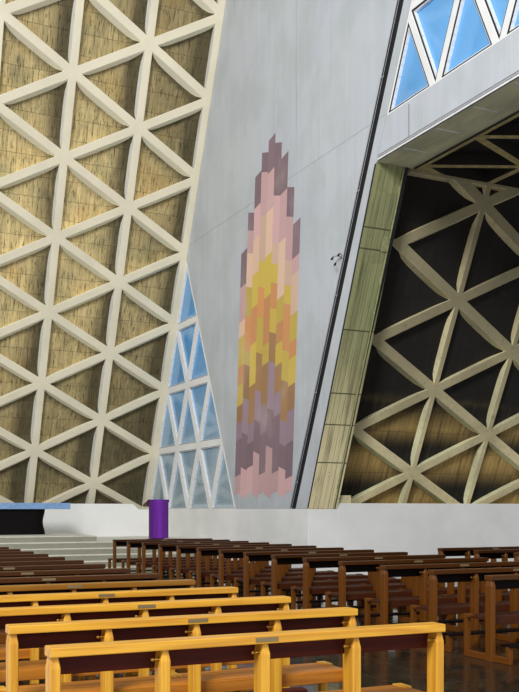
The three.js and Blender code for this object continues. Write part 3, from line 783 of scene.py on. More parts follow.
def post_material(colours, board):
    """Raking posts: painted white on the faces along the nave, bare on the jambs."""
    paint = Paint("raking_post_concrete")
    white, white_height = white_marks(paint, colours)
    bare, bare_height = jamb_marks(paint, colours, board)
    painted = abs(paint.facing()[0]).smooth(0.85, 0.97)
    colour = paint.mix(painted, bare, white)
    height = painted * white_height + (1 - painted) * bare_height
    return paint.finish(colour, 0.82, height, 0.003, 0.5)


def beam_material(colours):
    """Ring beam: painted like the walls in front, and bare tan-grey underneath."""
    paint = Paint("beam_concrete")
    white, height = white_marks(paint, colours)
    x, y, z = paint.place()
    cloud = paint.noise(x * 2, y * 0.7, z, 1.3, 5.0, 0.6)
    bare = paint.mix(cloud.smooth(0.35, 0.7), scaled(colours.soffit, 0.7), colours.soffit)
    under = (0.0 - paint.facing()[2]).smooth(0.6, 0.9)
    colour = paint.mix(under, white, bare)
    return paint.finish(colour, 0.82, height, 0.003, 0.45)


def ceiling_material(colours):
    """Aisle ceiling ribs: thin tan undersides, and sides darkened as painted shade."""
    paint = Paint("ceiling_concrete")
    x, y, z = paint.place()
    streak = paint.noise(x * 5, y * 5, z * 5, 1.0, 5.0, 0.65)
    under = (0.0 - paint.facing()[2]).smooth(0.6, 0.9)
    below = paint.mix(streak.smooth(0.35, 0.7), scaled(colours.ceiling, 0.65), colours.ceiling)
    colour = paint.mix(under, scaled(colours.aisle_shade, 1.8), below)
    return paint.finish(colour, 0.88, streak, 0.003, 0.5)


def dark_infill_material(colours, board):
    """Aisle coffers: nearly black above as painted shade, and tan board-marked concrete in the lowest
    rows, where the grain attribute holds painted shade over the bottom and corners of each coffer."""
    paint = Paint("dark_infill")
    x, y, z = paint.place()
    tone, seam, joint = board_marks(paint, x, z, board, LATTICE_RISE / 2, AISLE_LATTICE[2])
    streak = paint.noise(x * 11, 0.0, z * 0.9, 1.0, 6.0, 0.65)
    # Painted shade: the coffers turn nearly black above a level that a noise wobbles.
    wear = 0.9 * paint.noise(x, y, z, 0.5, 3.0)
    high = (z + wear).smooth(3.9, 4.9)
    tan = paint.mix(0.3 + 0.7 * tone, scaled(colours.infill_low, 0.7), colours.infill_low)
    stained = paint.mix(streak.smooth(0.5, 0.72) * 0.75, tan, colours.aisle_shade)
    upper = paint.mix(streak * tone, colours.aisle_shade, scaled(colours.aisle_shade, 1.9))
    held, _, _ = paint.grain()
    body = paint.mix(high.most(held * (0.85 + 0.3 * streak)).least(1.0), stained, upper)
    lined = paint.mix((seam * 0.5).most(joint * 0.6), body, scaled(colours.aisle_shade, 0.5))
    return paint.finish(lined, 0.9, streak + tone - seam - joint * 2, 0.004, 0.6)


def patch_material(colours):
    """Trowelled repairs and mortar: smoother than the jambs, in their tones."""
    paint = Paint("repair_patch")
    x, y, z = paint.place()
    trowel = paint.noise(x * 3, y * 3, z * 1.2, 6.0, 5.0, 0.6)
    pale = scaled(colours.jamb, 1.25)
    colour = paint.mix(trowel.smooth(0.35, 0.7), pale, scaled(colours.jamb, 0.75))
    return paint.finish(colour, 0.85, trowel, 0.002, 0.5)


def floor_material(colours, tile):
    """Polished dark stone slabs: each with its own tone, veins, fine chips and thin joints."""
    paint = Paint("dark_stone", {"Coat Weight": 0.35, "Coat Roughness": 0.06})
    x, y, z = paint.place()
    column, row = x / tile, y / tile
    tone = paint.chance(column.floor(), row.floor())
    edge = abs(column.fraction() - 0.5).most(abs(row.fraction() - 0.5))
    joint = edge.smooth(0.488, 0.497)
    vein = paint.noise(x * 2 + tone * 9, y * 2, tone * 5, 1.6, 8.0, 0.7)
    chips = paint.speckle(x, y, z, 55.0).smooth(0.3, 0.1)
    base = paint.mix(0.2 + 0.6 * tone, scaled(colours.floor, 0.7), colours.floor)
    veined = paint.mix(vein.smooth(0.55, 0.68) * 0.5, base, scaled(colours.floor, 2.2))
    chipped = paint.mix(chips * 0.3, veined, scaled(colours.floor, 2.6))
    lined = paint.mix(joint * 0.8, chipped, scaled(colours.floor, 0.4))
    rough = 0.12 + 0.1 * vein + 0.4 * joint
    return paint.finish(lined, rough, vein * 0.15 - joint, 0.002, 0.35)


def step_material(colours):
    """Honed greenish stone with slab joints along the steps, soft wear and pale treads."""
    rows_in_a_metre, slab_length = 6.7, 1.2
    paint = Paint("step_stone")
    x, y, z = paint.place()
    row = (z * rows_in_a_metre).floor()
    slab = x / slab_length + 0.5 * row
    tone = paint.chance(slab.floor(), row)
    joint = abs(slab.fraction() - 0.5).smooth(0.494, 0.499)
    cloud = paint.noise(x, y, z, 1.7, 6.0, 0.6)
    chips = paint.speckle(x, y, z, 42.0).smooth(0.28, 0.1)
    base = paint.mix(0.4 * tone + 0.6 * cloud, scaled(colours.step, 0.75), colours.step)
    chipped = paint.mix(chips * 0.3, base, scaled(colours.step, 1.4))
    tread = paint.facing()[2].smooth(0.6, 0.9)
    paled = paint.mix(tread * (0.75 + 0.2 * cloud), chipped, colours.nosing)
    lined = paint.mix(joint * 0.5, paled, scaled(colours.step, 0.35))
    return paint.finish(lined, 0.42 + 0.2 * cloud, cloud - joint * 2, 0.002, 0.4)


def nosing_material(colours):
    """Pale worn edge strips of the steps."""
    paint = Paint("step_nosing")
    x, y, z = paint.place()
    wear = paint.noise(x * 2, y * 8, z * 8, 2.0, 6.0, 0.7)
    grit = paint.noise(x, y, z, 90.0, 2.0)
    colour = paint.mix(wear.smooth(0.35, 0.75), colours.nosing, scaled(colours.nosing, 0.72))
    return paint.finish(colour, 0.4 + 0.25 * wear, grit, 0.001, 0.4)


def worn_material(name, metallic, stretch, noise, band, tones, rough, depth):
    """Small fittings: a noise, stretched along each axis, blends two tones between the ends of
    a band, adds to the roughness by its share and lifts the surface."""
    paint = Paint(name, {"Metallic": metallic})
    x, y, z = paint.place()
    wear = paint.noise(x * stretch[0], y * stretch[1], z * stretch[2], *noise)
    colour = paint.mix(wear.smooth(*band), *tones)
    return paint.finish(colour, rough[0] + rough[1] * wear, wear, depth, 0.3)


def metal_material(colours):
    """Dark painted metal with paler scuffs and a satin sheen."""
    tones = (colours.metal, scaled(colours.metal, 1.84))
    stretch, noise, band = (4, 4, 0.8), (3.0, 7.0, 0.7), (0.55, 0.8)
    return worn_material("dark_metal", 0.55, stretch, noise, band, tones, (0.35, 0.3), 0.001)


def conduit_material():
    """Galvanised conduit: pale grey with spangles."""
    paint = Paint("pale_conduit", {"Metallic": 0.6})
    x, y, z = paint.place()
    spangle = paint.speckle(x, y, z, 60.0)
    colour = paint.mix(spangle, linear(188, 190, 196), linear(226, 228, 232))
    return paint.finish(colour, 0.3 + 0.3 * spangle, spangle, 0.0005, 0.3)


def gasket_material():
    """Dusty black rubber round the panes; the same black stands in as painted shade on the window
    reveals and in the jamb slot.
    """
    tones = (linear(16, 17, 20), linear(58, 58, 62))
    stretch, noise, band = (1, 1, 1), (9.0, 5.0, 0.7), (0.5, 0.8)
    return worn_material("black_gasket", 0.0, stretch, noise, band, tones, (0.55, 0.2), 0.0008)


def frame_material():
    """Thin white window frames inside the concrete bars."""
    tones = (linear(244, 245, 247), linear(205, 207, 212))
    stretch, noise, band = (2, 2, 6), (3.0, 6.0, 0.6), (0.45, 0.8)
    rough = (0.4, 0.2)
    return worn_material("white_window_frame", 0.0, stretch, noise, band, tones, rough, 0.0006)


def glass_material(colours):
    """Sky-tinted panes, paler towards the low wall, with faint rain streaks."""
    paint = Paint("pale_glass", {"IOR": 1.5, "Coat Weight": 0.4, "Coat Roughness": 0.03})
    _, y, z = paint.place()
    streak = paint.noise(y * 9, 0.0, z * 0.7, 1.0, 5.0, 0.6)
    drift = paint.noise(y * 0.5, 0.0, z * 0.45, 1.0, 3.0)
    high = (z + 2.2 * drift).smooth(3.2, 7.4)
    sky = paint.mix(drift.smooth(0.35, 0.7), colours.glass, scaled(colours.glass, 0.78))
    low = paint.mix(streak.smooth(0.4, 0.75), colours.glass_low, scaled(colours.glass_low, 0.8))
    colour = paint.mix(high, low, sky)
    paint.feed(paint.shader.inputs["Alpha"], 0.9 + 0.08 * streak)
    return paint.finish(colour, 0.05 + 0.06 * streak)


def wood_material(name, light, dark, gloss, coat=0.16, shine=0.28, share=0.66):
    """Varnished timber: growth rings stretched along the grain, fine fibres and a tone for each board,
    under a clear coat. Painted shade makes the rows near the altar and across the gangway browner and
    redder by a share, most of all on their rails' faces, and takes their coat's shine away."""
    constants = {"Coat Weight": coat, "Coat Roughness": 0.16, "Specular IOR Level": shine}
    paint = Paint(name, constants)
    x, y, z = paint.place()
    # Painted shade: rows towards the altar and across the gangway turn brown and lose their coat, most
    # of all on the rails' faces.
    shaded_row = y.smooth(*SHADED_ROWS).most(x.smooth(*SHADED_BLOCK))
    deep_shade_row = y.smooth(*DEEP_SHADE_ROWS)
    level = FLOOR_TOP + RAIL_UNDER
    rail = z.smooth(level - 0.004, level + 0.004)
    facing = 0.5 + 0.5 * abs(paint.facing()[1])
    along, across, through = paint.grain()
    bend = paint.noise(along * 0.5, across * 3, through * 3, 1.0, 3.0)
    ring = ((across * 38 + through * 30 + bend * 9) * 2.2).sine() * 0.5 + 0.5
    fibre = paint.noise(along * 3, across * 150, through * 150, 1.0, 4.0, 0.6)
    board = paint.noise(along * 0.02, across * 0.05, through * 0.05, 1.0, 1.0).smooth(0.3, 0.7)
    toned = paint.mix(0.25 + 0.5 * board, scaled(light, 0.72), light)
    ringed = paint.mix(ring * 0.38, toned, dark)
    grained = paint.mix(fibre.smooth(0.45, 0.75) * 0.35, ringed, scaled(dark, 0.7))
    brown = shaded_row * (share + rail * facing * (0.24 + 0.12 * deep_shade_row)).least(0.97)
    reddened = paint.mix(shaded_row * 0.9, grained, scaled(dark, 0.8))
    browned = paint.mix(brown, reddened, scaled(dark, 0.1))
    if coat:
        paint.feed(paint.shader.inputs["Coat Weight"], coat * (1 - brown))
    return paint.finish(browned, gloss + 0.15 * fibre, fibre * 0.7 + ring * 0.3, 0.0006, 0.35)


def stone_slab_material(colours):
    """Bluish white altar marble with soft grey veins."""
    paint = Paint("pale_stone", {"Coat Weight": 0.2, "Coat Roughness": 0.1})
    x, y, z = paint.place()
    drift = paint.noise(x, y, z, 0.9, 4.0)
    vein = abs(paint.noise(x + drift * 2, y + drift, z, 2.1, 7.0, 0.6) - 0.5)
    line = 1 - vein.smooth(0.0, 0.05)
    cloud = paint.mix(drift, scaled(colours.marble, 0.85), colours.marble)
    colour = paint.mix(line * 0.5, cloud, scaled(colours.marble, 0.6))
    return paint.finish(colour, 0.22 + 0.15 * drift)


def cloth_material(colours):
    """Woven purple cloth: over and under threads in the sheet's own grain, with a soft sheen and a
    painted highlight down its middle.
    """
    constants = {"Sheen Weight": 0.5, "Sheen Roughness": 0.4}
    paint = Paint("purple_cloth", constants)
    across, up, _ = paint.grain()
    warp = (across * THREADS).sine() * 0.5 + 0.5
    weft = (up * THREADS).sine() * 0.5 + 0.5
    weave = warp * weft
    fade = paint.noise(across * 2, up * 2, 0.0, 2.0, 4.0)
    # Painted highlight down the middle of the cloth.
    middle = 1 - abs(across - CLOTH_MIDDLE).smooth(0.0, 0.2)
    toned = paint.mix(fade, scaled(colours.cloth, 0.7), scaled(colours.cloth, 1.2))
    lit_middle = paint.mix(middle * 0.7, toned, colours.cloth_light)
    colour = paint.mix(weave * 0.25, lit_middle, scaled(colours.cloth_light, 1.2))
    return paint.finish(colour, 0.75 + 0.15 * weave, weave, 0.0004, 0.5)


def brass_material():
    """Tarnished brass knobs."""
    tones = (linear(214, 170, 84), linear(120, 86, 40))
    stretch, noise, band = (1, 1, 1), (60.0, 5.0, 0.7), (0.4, 0.7)
    return worn_material("worn_brass", 0.9, stretch, noise, band, tones, (0.25, 0.35), 0.0004)


def plate_material():
    """Grey-brown plates on the pew rails: a noise stretched along x brushes two tones together."""
    paint = Paint("rail_plate", {"Metallic": 0.35})
    x, y, z = paint.place()
    brushed = paint.noise(x * 4, y * 90, z * 240, 1.0, 4.0)
    colour = paint.mix(brushed, linear(112, 96, 66), linear(150, 132, 92))
    return paint.finish(colour, 0.4 + 0.2 * brushed, brushed, 0.0003, 0.4)


def painting_material():
    """Wall painting: matt washes that let the boards show, thinner in worn places."""
    paint = Paint("painted_wash")
    _, y, z = paint.place()
    settings = {"attribute_name": "wash"}
    wash = paint.node("ShaderNodeAttribute", settings).outputs["Color"]
    streak = paint.noise(y * 16, 0.0, z * 0.3, 1.0, 6.0, 0.6)
    cloud = paint.noise(0.0, y, z, 0.8, 4.0)
    pale = paint.mix(streak * 0.16 + 0.1 * cloud, wash, linear(222, 214, 214))
    colour = paint.mix(cloud.smooth(0.5, 0.8) * 0.2, pale, linear(240, 222, 200))
    return paint.finish(colour, 0.85, streak, 0.002, 0.4)


# Sizes and colours that a user would change
def length_property(name, description, default):
    """A length in metres."""
    return FloatProperty(name=name, description=description, default=default, unit="LENGTH")


def colour_property(name, description, red, green, blue):
    """A colour whose default is given as a screen colour."""
    return FloatVectorProperty(
        name=name,
        description=description,
        default=linear(red, green, blue),
        subtype="COLOR",
        size=3,
        min=0.0,
        max=1.0,
    )


class ChurchSizes(bpy.types.PropertyGroup):
    """Sizes of the finish."""

    board: length_property("Board width", "Width of one formwork board", 0.13)
    relief: length_property("Board relief", "Most that a board's mark stands out", 0.007)
    seam: length_property("Seam", "Gap between two board marks", 0.004)
    arris: length_property("Arris", "Rounding of the concrete edges", 0.012)
    timber_cut: length_property("Timber edge", "Cut edge of the pew timbers", 0.004)
    tile: length_property("Floor slab", "Side of one floor slab", 0.6)
    gasket: length_property("Gasket", "Width of the black seal round a pane", 0.03)
    frame: length_property("Frame", "Width of the white frame round a pane", 0.022)
    nosing: length_property("Nosing", "Width of the pale strip on a step's edge", 0.05)
    joint: length_property("Joint", "Width of the dark joint along the far post", 0.055)
    conduit: length_property("Conduit", "Radius of the conduit beside the channel", 0.015)
    jamb_boards: IntProperty(
        name="Jamb boards", description="Boards across a raking post", default=6
    )


class ChurchColours(bpy.types.PropertyGroup):
    """Colours of the finish."""

    cream: colour_property("Ribs", "Painted ribs of the end wall", 243, 234, 206)
    # Painted light: the reveals are lighter than the rib faces; the dark reveals are painted shade.
    reveal: colour_property("Reveals", "Undersides of the end wall's ribs", 252, 247, 222)
    reveal_dark: colour_property("Dark reveals", "Sides that no window lights", 238, 237, 226)
    tan: colour_property("Infill", "Light boards in the coffers", 240, 216, 154)
    tan_dark: colour_property("Infill stain", "Water stains in the coffers", 76, 58, 32)
    # Painted shadow and shade in the end wall's coffers.
    coffer_shade: colour_property("Infill soot", "Soot beside the ribs of the end wall", 50, 46, 28)
    ochre: colour_property("Infill ochre", "Warm blotches in the coffers", 224, 184, 108)
    moss: colour_property("Infill moss", "Grey-green blotches in the coffers", 158, 154, 114)
    white: colour_property("Walls", "Painted side wall", 212, 217, 221)
    lilac: colour_property("Wall shade", "Cloudy tone of the side wall", 194, 198, 210)
    run: colour_property("Run marks", "Grey-green runs on the side wall", 158, 168, 158)
    plaster: colour_property("Low walls", "Plain paint of the low walls", 246, 246, 243)
    raw: colour_property("Aisle ribs", "Bare ribs of the aisle", 166, 156, 122)
    # Painted light: the aisle ribs' colour near the floor, also mixed in low on the jambs.
    raw_low: colour_property("Aisle ribs low", "The same near the floor", 253, 238, 188)
    ceiling: colour_property("Aisle ceiling", "Undersides of the ceiling ribs", 206, 188, 128)
    jamb: colour_property("Jambs", "Board-marked jambs", 148, 150, 106)
    jamb_dark: colour_property("Jamb streaks", "Dark streaks of the jambs", 72, 74, 44)
    soffit: colour_property("Soffit", "Underside of the ring beam", 222, 220, 184)
    # Painted shade of the aisle's coffers, also on the sides of its ceiling ribs.
    aisle_shade: colour_property("Aisle coffers", "Upper aisle coffers", 24, 21, 17)
    infill_low: colour_property("Lower coffers", "Lowest aisle coffers", 206, 172, 104)
    floor: colour_property("Floor", "Polished nave floor", 31, 32, 26)
    step: colour_property("Steps", "Sanctuary steps", 154, 154, 136)
    nosing: colour_property("Nosings", "Treads and edge strips of the steps", 226, 222, 208)
    metal: colour_property("Channel", "Service channel", 30, 31, 36)
    glass: colour_property("Sky glass", "Upper panes", 112, 186, 248)
    glass_low: colour_property("Low glass", "Panes near the low wall", 170, 192, 204)
    honey: colour_property("Pews", "Light of the pew timber", 238, 178, 56)
    honey_dark: colour_property("Pew grain", "Dark of the pew timber", 164, 90, 18)
    seat: colour_property("Seats", "Redder timber of seats and aprons", 196, 126, 36)
    seat_dark: colour_property("Seat grain", "Dark of the seats' timber", 132, 58, 16)
    brown: colour_property("Dark wood", "Back boards and kneelers", 84, 26, 12)
    brown_dark: colour_property("Dark grain", "Grain of the dark wood", 26, 10, 7)
    ebony: colour_property("Altar base", "Nearly black base of the altar", 42, 24, 18)
    marble: colour_property("Altar slab", "Bluish marble", 140, 178, 226)
    cloth: colour_property("Cloth", "Cloth on the lectern", 84, 10, 124)
    cloth_light: colour_property("Cloth middle", "Where the cloth catches light", 128, 36, 180)


MATERIALS = {}


def make_materials(sizes, colours):
    """Fills the table of materials."""
    plain = {
        "cream": cream_material,
        "white": white_material,
        "plaster": plaster_material,
        "raw": raw_material,
        "beam": beam_material,
        "ceiling": ceiling_material,
        "patch": patch_material,
        "step": step_material,
        "nosing": nosing_material,
        "metal": metal_material,
        "glass": glass_material,
        "marble": stone_slab_material,
        "cloth": cloth_material,
    }
    for name, make in plain.items():
        MATERIALS[name] = make(colours)
    post_board = SIDE_THICK / sizes.jamb_boards
    MATERIALS["tan"] = tan_material(colours, sizes.board)
    MATERIALS["infill"] = dark_infill_material(colours, sizes.board)
    MATERIALS["post"] = post_material(colours, post_board)
    MATERIALS["jamb"] = jamb_material(colours, post_board)
    MATERIALS["floor"] = floor_material(colours, sizes.tile)
    MATERIALS["conduit"] = conduit_material()
    MATERIALS["gasket"] = gasket_material()
    MATERIALS["frame"] = frame_material()
    MATERIALS["brass"] = brass_material()
    MATERIALS["plate"] = plate_material()
    MATERIALS["painting"] = painting_material()
    seat, dark = (colours.seat, colours.seat_dark), colours.brown_dark
    MATERIALS["honey"] = wood_material("honey_wood", colours.honey, colours.honey_dark, 0.32)
    MATERIALS["seat"] = wood_material("red_wood", *seat, 0.4, 0.1, 0.3, 0.84)
    MATERIALS["brown"] = wood_material("dark_wood", colours.brown, dark, 0.5, 0.0, 0.15)
    MATERIALS["ebony"] = wood_material("ebony_wood", colours.ebony, dark, 0.5, 0.0, 0.15)


def finish_node(node, material):
    """Gives a CAD node that keeps its own mesh its material."""
    mesh = frame["nodes"][node].data
    mesh.materials.clear()
    mesh.materials.append(MATERIALS[material])


def soften(node, name, material, width):
    """A copy of a CAD node with its triangles merged into flat faces and its arrises rounded."""
    mesh = bpy.data.meshes.new(name)
    work = bmesh.new()
    work.from_mesh(frame["nodes"][node].data)
    bmesh.ops.remove_doubles(work, verts=work.verts, dist=SAME_POINT)
    bmesh.ops.dissolve_limit(work, angle_limit=FLAT_TURN, verts=work.verts, edges=work.edges)
    for face in work.faces:
        face.smooth = False
    work.to_mesh(mesh)
    work.free()
    mesh.materials.clear()
    piece = add_piece(name, mesh, [MATERIALS[material]], [node])
    bevel = piece.modifiers.new("arris", "BEVEL")
    bevel.width = width
    bevel.segments = 2
    bevel.limit_method = "ANGLE"
    bevel.angle_limit = ARRIS_TURN
    bevel.use_clamp_overlap = False
    return piece


def board_field(lefts, levels, seam, relief, face, inside, rng):
    """Boxes for board marks: each stands out from a face by its own random amount, between
    one column's edges and one lift's levels."""
    x0, z0 = np.meshgrid(lefts[:-1], levels[:-1], indexing="ij")
    x1, z1 = np.meshgrid(lefts[1:], levels[1:], indexing="ij")
    count = x0.size
    out = face - relief * rng.uniform(0.15, 1.0, count)
    lows = np.column_stack([x0.ravel() + seam / 2, out, z0.ravel() + seam])
    highs = np.column_stack([x1.ravel() - seam / 2, np.full(count, inside), z1.ravel()])
    return boxes(lows, highs)


def coffer_weights(x, z, lattice):
    """How far across its bay each point lies, and its weights of the three corners of its
    coffer: the tip, the low corner and the high corner. A coffer is a triangle of the lattice
    drawn in by half a rib."""
    column, pitch, zero, rise, upright, rib, _ = lattice
    across = (x - column) / pitch
    bay = np.floor(across)
    level = (z - zero) / rise
    middle = 2 * np.round((level - bay - 1) / 2) + bay + 1
    above = level - middle
    right_of = across - bay
    left_based = np.abs(above) <= 1 - right_of
    tip = np.where(left_based, right_of, 1 - right_of)
    above = np.where(left_based, above, above - np.sign(above))
    weights = np.stack([tip, (1 - tip - above) / 2, (1 - tip + above) / 2])
    slanted_height = 2 * rise * pitch / math.hypot(pitch, rise)
    cut = np.array([upright / 2 / pitch, rib / 2 / slanted_height, rib / 2 / slanted_height])
    return right_of, (weights - cut.reshape(3, *(1,) * x.ndim)) / (1 - cut.sum())


def coffer_depth(weights, deepest):
    """Depth of the coffer floors: with the corner weights a, b and c, the deepest times the
    hyperbolic tangent of FLOOR_DROP * (1 - a * a - b * b - c * c), but at least SHALLOWEST. It
    is least at the corners, and nearly all of it is reached a third of a metre inside them."""
    share = np.tanh(FLOOR_DROP * (1 - (weights**2).sum(0)))
    return np.maximum(deepest * share, SHALLOWEST)


def ramp(values, low, high):
    """0 at low, 1 at high, and a smooth step between."""
    t = np.clip((values - low) / (high - low), 0.0, 1.0)
    return t * t * (3 - 2 * t)


def side_shade(right_of, weights):
    """Painted shadow in the end wall's coffers: towards the next upright rib and under the slanted
    one.
    """
    under = 1 - ramp(weights[1], 0.0, 0.13)
    return np.maximum(0.95 * ramp(right_of, 0.56, 0.96), 0.6 * under)


def low_shade(_, weights):
    """Painted shade in the aisle's coffers: over the lower part of each, and in its corners."""
    down = weights[1] + 0.5 * weights[0]
    corner = (weights**2).sum(0)
    return np.maximum(ramp(down, 0.3, 0.72), 0.8 * ramp(corner, 0.45, 0.8))


def backed(front, back):
    """A closed solid from a grid of front points and the same grid further back: a skirt of quads
    round the border, and one flat face behind."""
    rows, columns = front.shape[:2]
    index = np.arange(rows * columns).reshape(rows, columns)
    edges = [index[0, :-1], index[:-1, -1], index[-1, :0:-1], index[:0:-1, 0]]
    border = np.concatenate(edges)
    behind = rows * columns + np.arange(len(border))
    skirt = np.stack([np.roll(border, -1), border, behind, np.roll(behind, -1)], 1)
    points = np.vstack([front.reshape(-1, 3), back.reshape(-1, 3)[border]])
    return points, [grid_faces(rows, columns), skirt, behind[::-1][None]]


def coffer_boards(x_range, z_range, lattice, back, coffer_shade, sizes, rng):
    """The board-marked floors behind a lattice, as x, depth and z: the curve of each coffer, less a
    random relief for each board in each lift, with a narrow gap between boards. Their grain holds the
    painted shade."""
    count = round((x_range[1] - x_range[0]) / sizes.board)
    edges = np.linspace(*x_range, count + 1)
    half = sizes.seam / 2
    x = np.repeat(edges, 2)[1:-1] + np.tile([half, -half], count)
    lift = lattice[3] / 2
    first = lattice[2] + lift * math.ceil((z_range[0] - lattice[2]) / lift)
    levels = np.unique(np.clip(np.arange(first, z_range[1] + lift, lift), *z_range))
    levels = np.concatenate([[z_range[0]], levels]) if levels[0] > z_range[0] + 0.01 else levels
    inner = np.linspace(0.0, 1.0, ROWS_PER_BOARD)
    spans = np.diff(levels)[:, None] - sizes.seam
    z = (levels[:-1, None] + half + spans * inner).ravel()
    relief = sizes.relief * rng.uniform(0.1, 1.0, (len(levels) - 1, count))
    relief = np.repeat(np.repeat(relief, ROWS_PER_BOARD, 0), 2, 1)
    x, z = np.meshgrid(x, z)
    right_of, weights = coffer_weights(x, z, lattice)
    front = np.stack([x, coffer_depth(weights, lattice[-1]) - relief, z], -1)
    rear = np.stack([x, np.full(x.shape, back), z], -1)
    points, faces = backed(front, rear)
    grain = np.zeros(points.shape)
    grain[: x.size, 0] = coffer_shade(right_of, weights).ravel()
    return points, faces, grain


def lean_back(points, lean):
    """Moves each level towards the nave by the lean times its height."""
    leaned = np.array(points)
    leaned[:, 1] -= lean * leaned[:, 2]
    return leaned


class ChurchOperator(bpy.types.Operator):
    """What the building steps share."""

    bl_options = {"REGISTER", "UNDO"}


class BuildStage(ChurchOperator):
    """Adds the pale floor round the building, the soft lights and the camera."""

    bl_idname = "church.build_stage"
    bl_label = "Stage"

    def execute(self, context):
        sizes = context.scene.church_sizes
        make_materials(sizes, context.scene.church_colours)
        bpy.context.scene.view_settings.view_transform = "Standard"
        self.add_floor()
        self.add_world()
        self.add_lights()
        self.add_camera()
        return {"FINISHED"}

    def add_floor(self):
        """A wide pale floor just under the building."""
        mesh = bpy.data.meshes.new("stage_floor")
        corners = [(-1, -1), (1, -1), (1, 1), (-1, 1)]
        points = [(x * STAGE_HALF, y * STAGE_HALF, STAGE_LEVEL) for x, y in corners]
        mesh.from_pydata(points, [], [(0, 1, 2, 3)])
        paint = Paint("stage_floor", {"Roughness": 0.9})
        x, y, z = paint.place()
        cloud = paint.noise(x, y, z, 0.05, 2.0)
        pale = paint.mix(cloud, (0.62, 0.62, 0.62), (0.68, 0.68, 0.68))
        mesh.materials.append(paint.finish(pale))
        floor = bpy.data.objects.new("stage_floor", mesh)
        bpy.context.scene.collection.objects.link(floor)

    def add_world(self):
        """Even light from a pale sky."""
        world = bpy.data.worlds.new("pale_studio")
        world.use_nodes = True
        background = world.node_tree.nodes["Background"]
        background.inputs["Color"].default_value = (*SKY, 1.0)
        background.inputs["Strength"].default_value = SKY_STRENGTH
        bpy.context.scene.world = world

    def add_lights(self):
        """A key light from the camera's side and a weaker, wider fill."""
        for name, (place, target, side, power) in LIGHTS.items():
            light = bpy.data.lights.new(name, "AREA")
            light.size = side
            light.energy = power
            lamp = bpy.data.objects.new(name, light)
            lamp.location = place
            aim = Vector(target) - Vector(place)
            lamp.rotation_euler = aim.to_track_quat("-Z", "Y").to_euler()
            bpy.context.scene.collection.objects.link(lamp)

    def add_camera(self):
        """The level camera, its frame shifted up towards the wall."""
        camera = bpy.data.cameras.new("view")
        camera.lens = CAMERA_LENS
        camera.sensor_width = CAMERA_SENSOR
        camera.shift_y = CAMERA_SHIFT
        camera.clip_end = 500.0
        eye = bpy.data.objects.new("view", camera)
        eye.location = CAMERA_PLACE
        eye.rotation_euler = (math.pi / 2, 0.0, CAMERA_YAW)
        bpy.context.scene.collection.objects.link(eye)
        bpy.context.scene.camera = eye


class BuildEndWall(ChurchOperator):
    """Softens the end wall's ribs and lines its coffers with curved, board-marked floors."""

    bl_idname = "church.build_end_wall"
    bl_label = "End wall"

    def execute(self, context):
        sizes = context.scene.church_sizes
        soften("end_wall_ribs", "end_wall_ribs_cast", "cream", sizes.arris)
        finish_node("end_wall_slab", "tan")
        rng = np.random.default_rng(SEED)
        x_range, z_range = (NAVE_LEFT + 0.01, -0.01), (0.7, WALL_TOP - 0.02)
        lattice = (x_range, z_range, END_LATTICE, END_BACK, side_shade)
        points, faces, grain = coffer_boards(*lattice, sizes, rng)
        shape = Shape()
        shape.add(lean_back(points, LEAN), faces, grain=grain)
        shape.build("end_wall_boards", [MATERIALS["tan"]], "tan_concrete", with_grain=True)
        return {"FINISHED"}


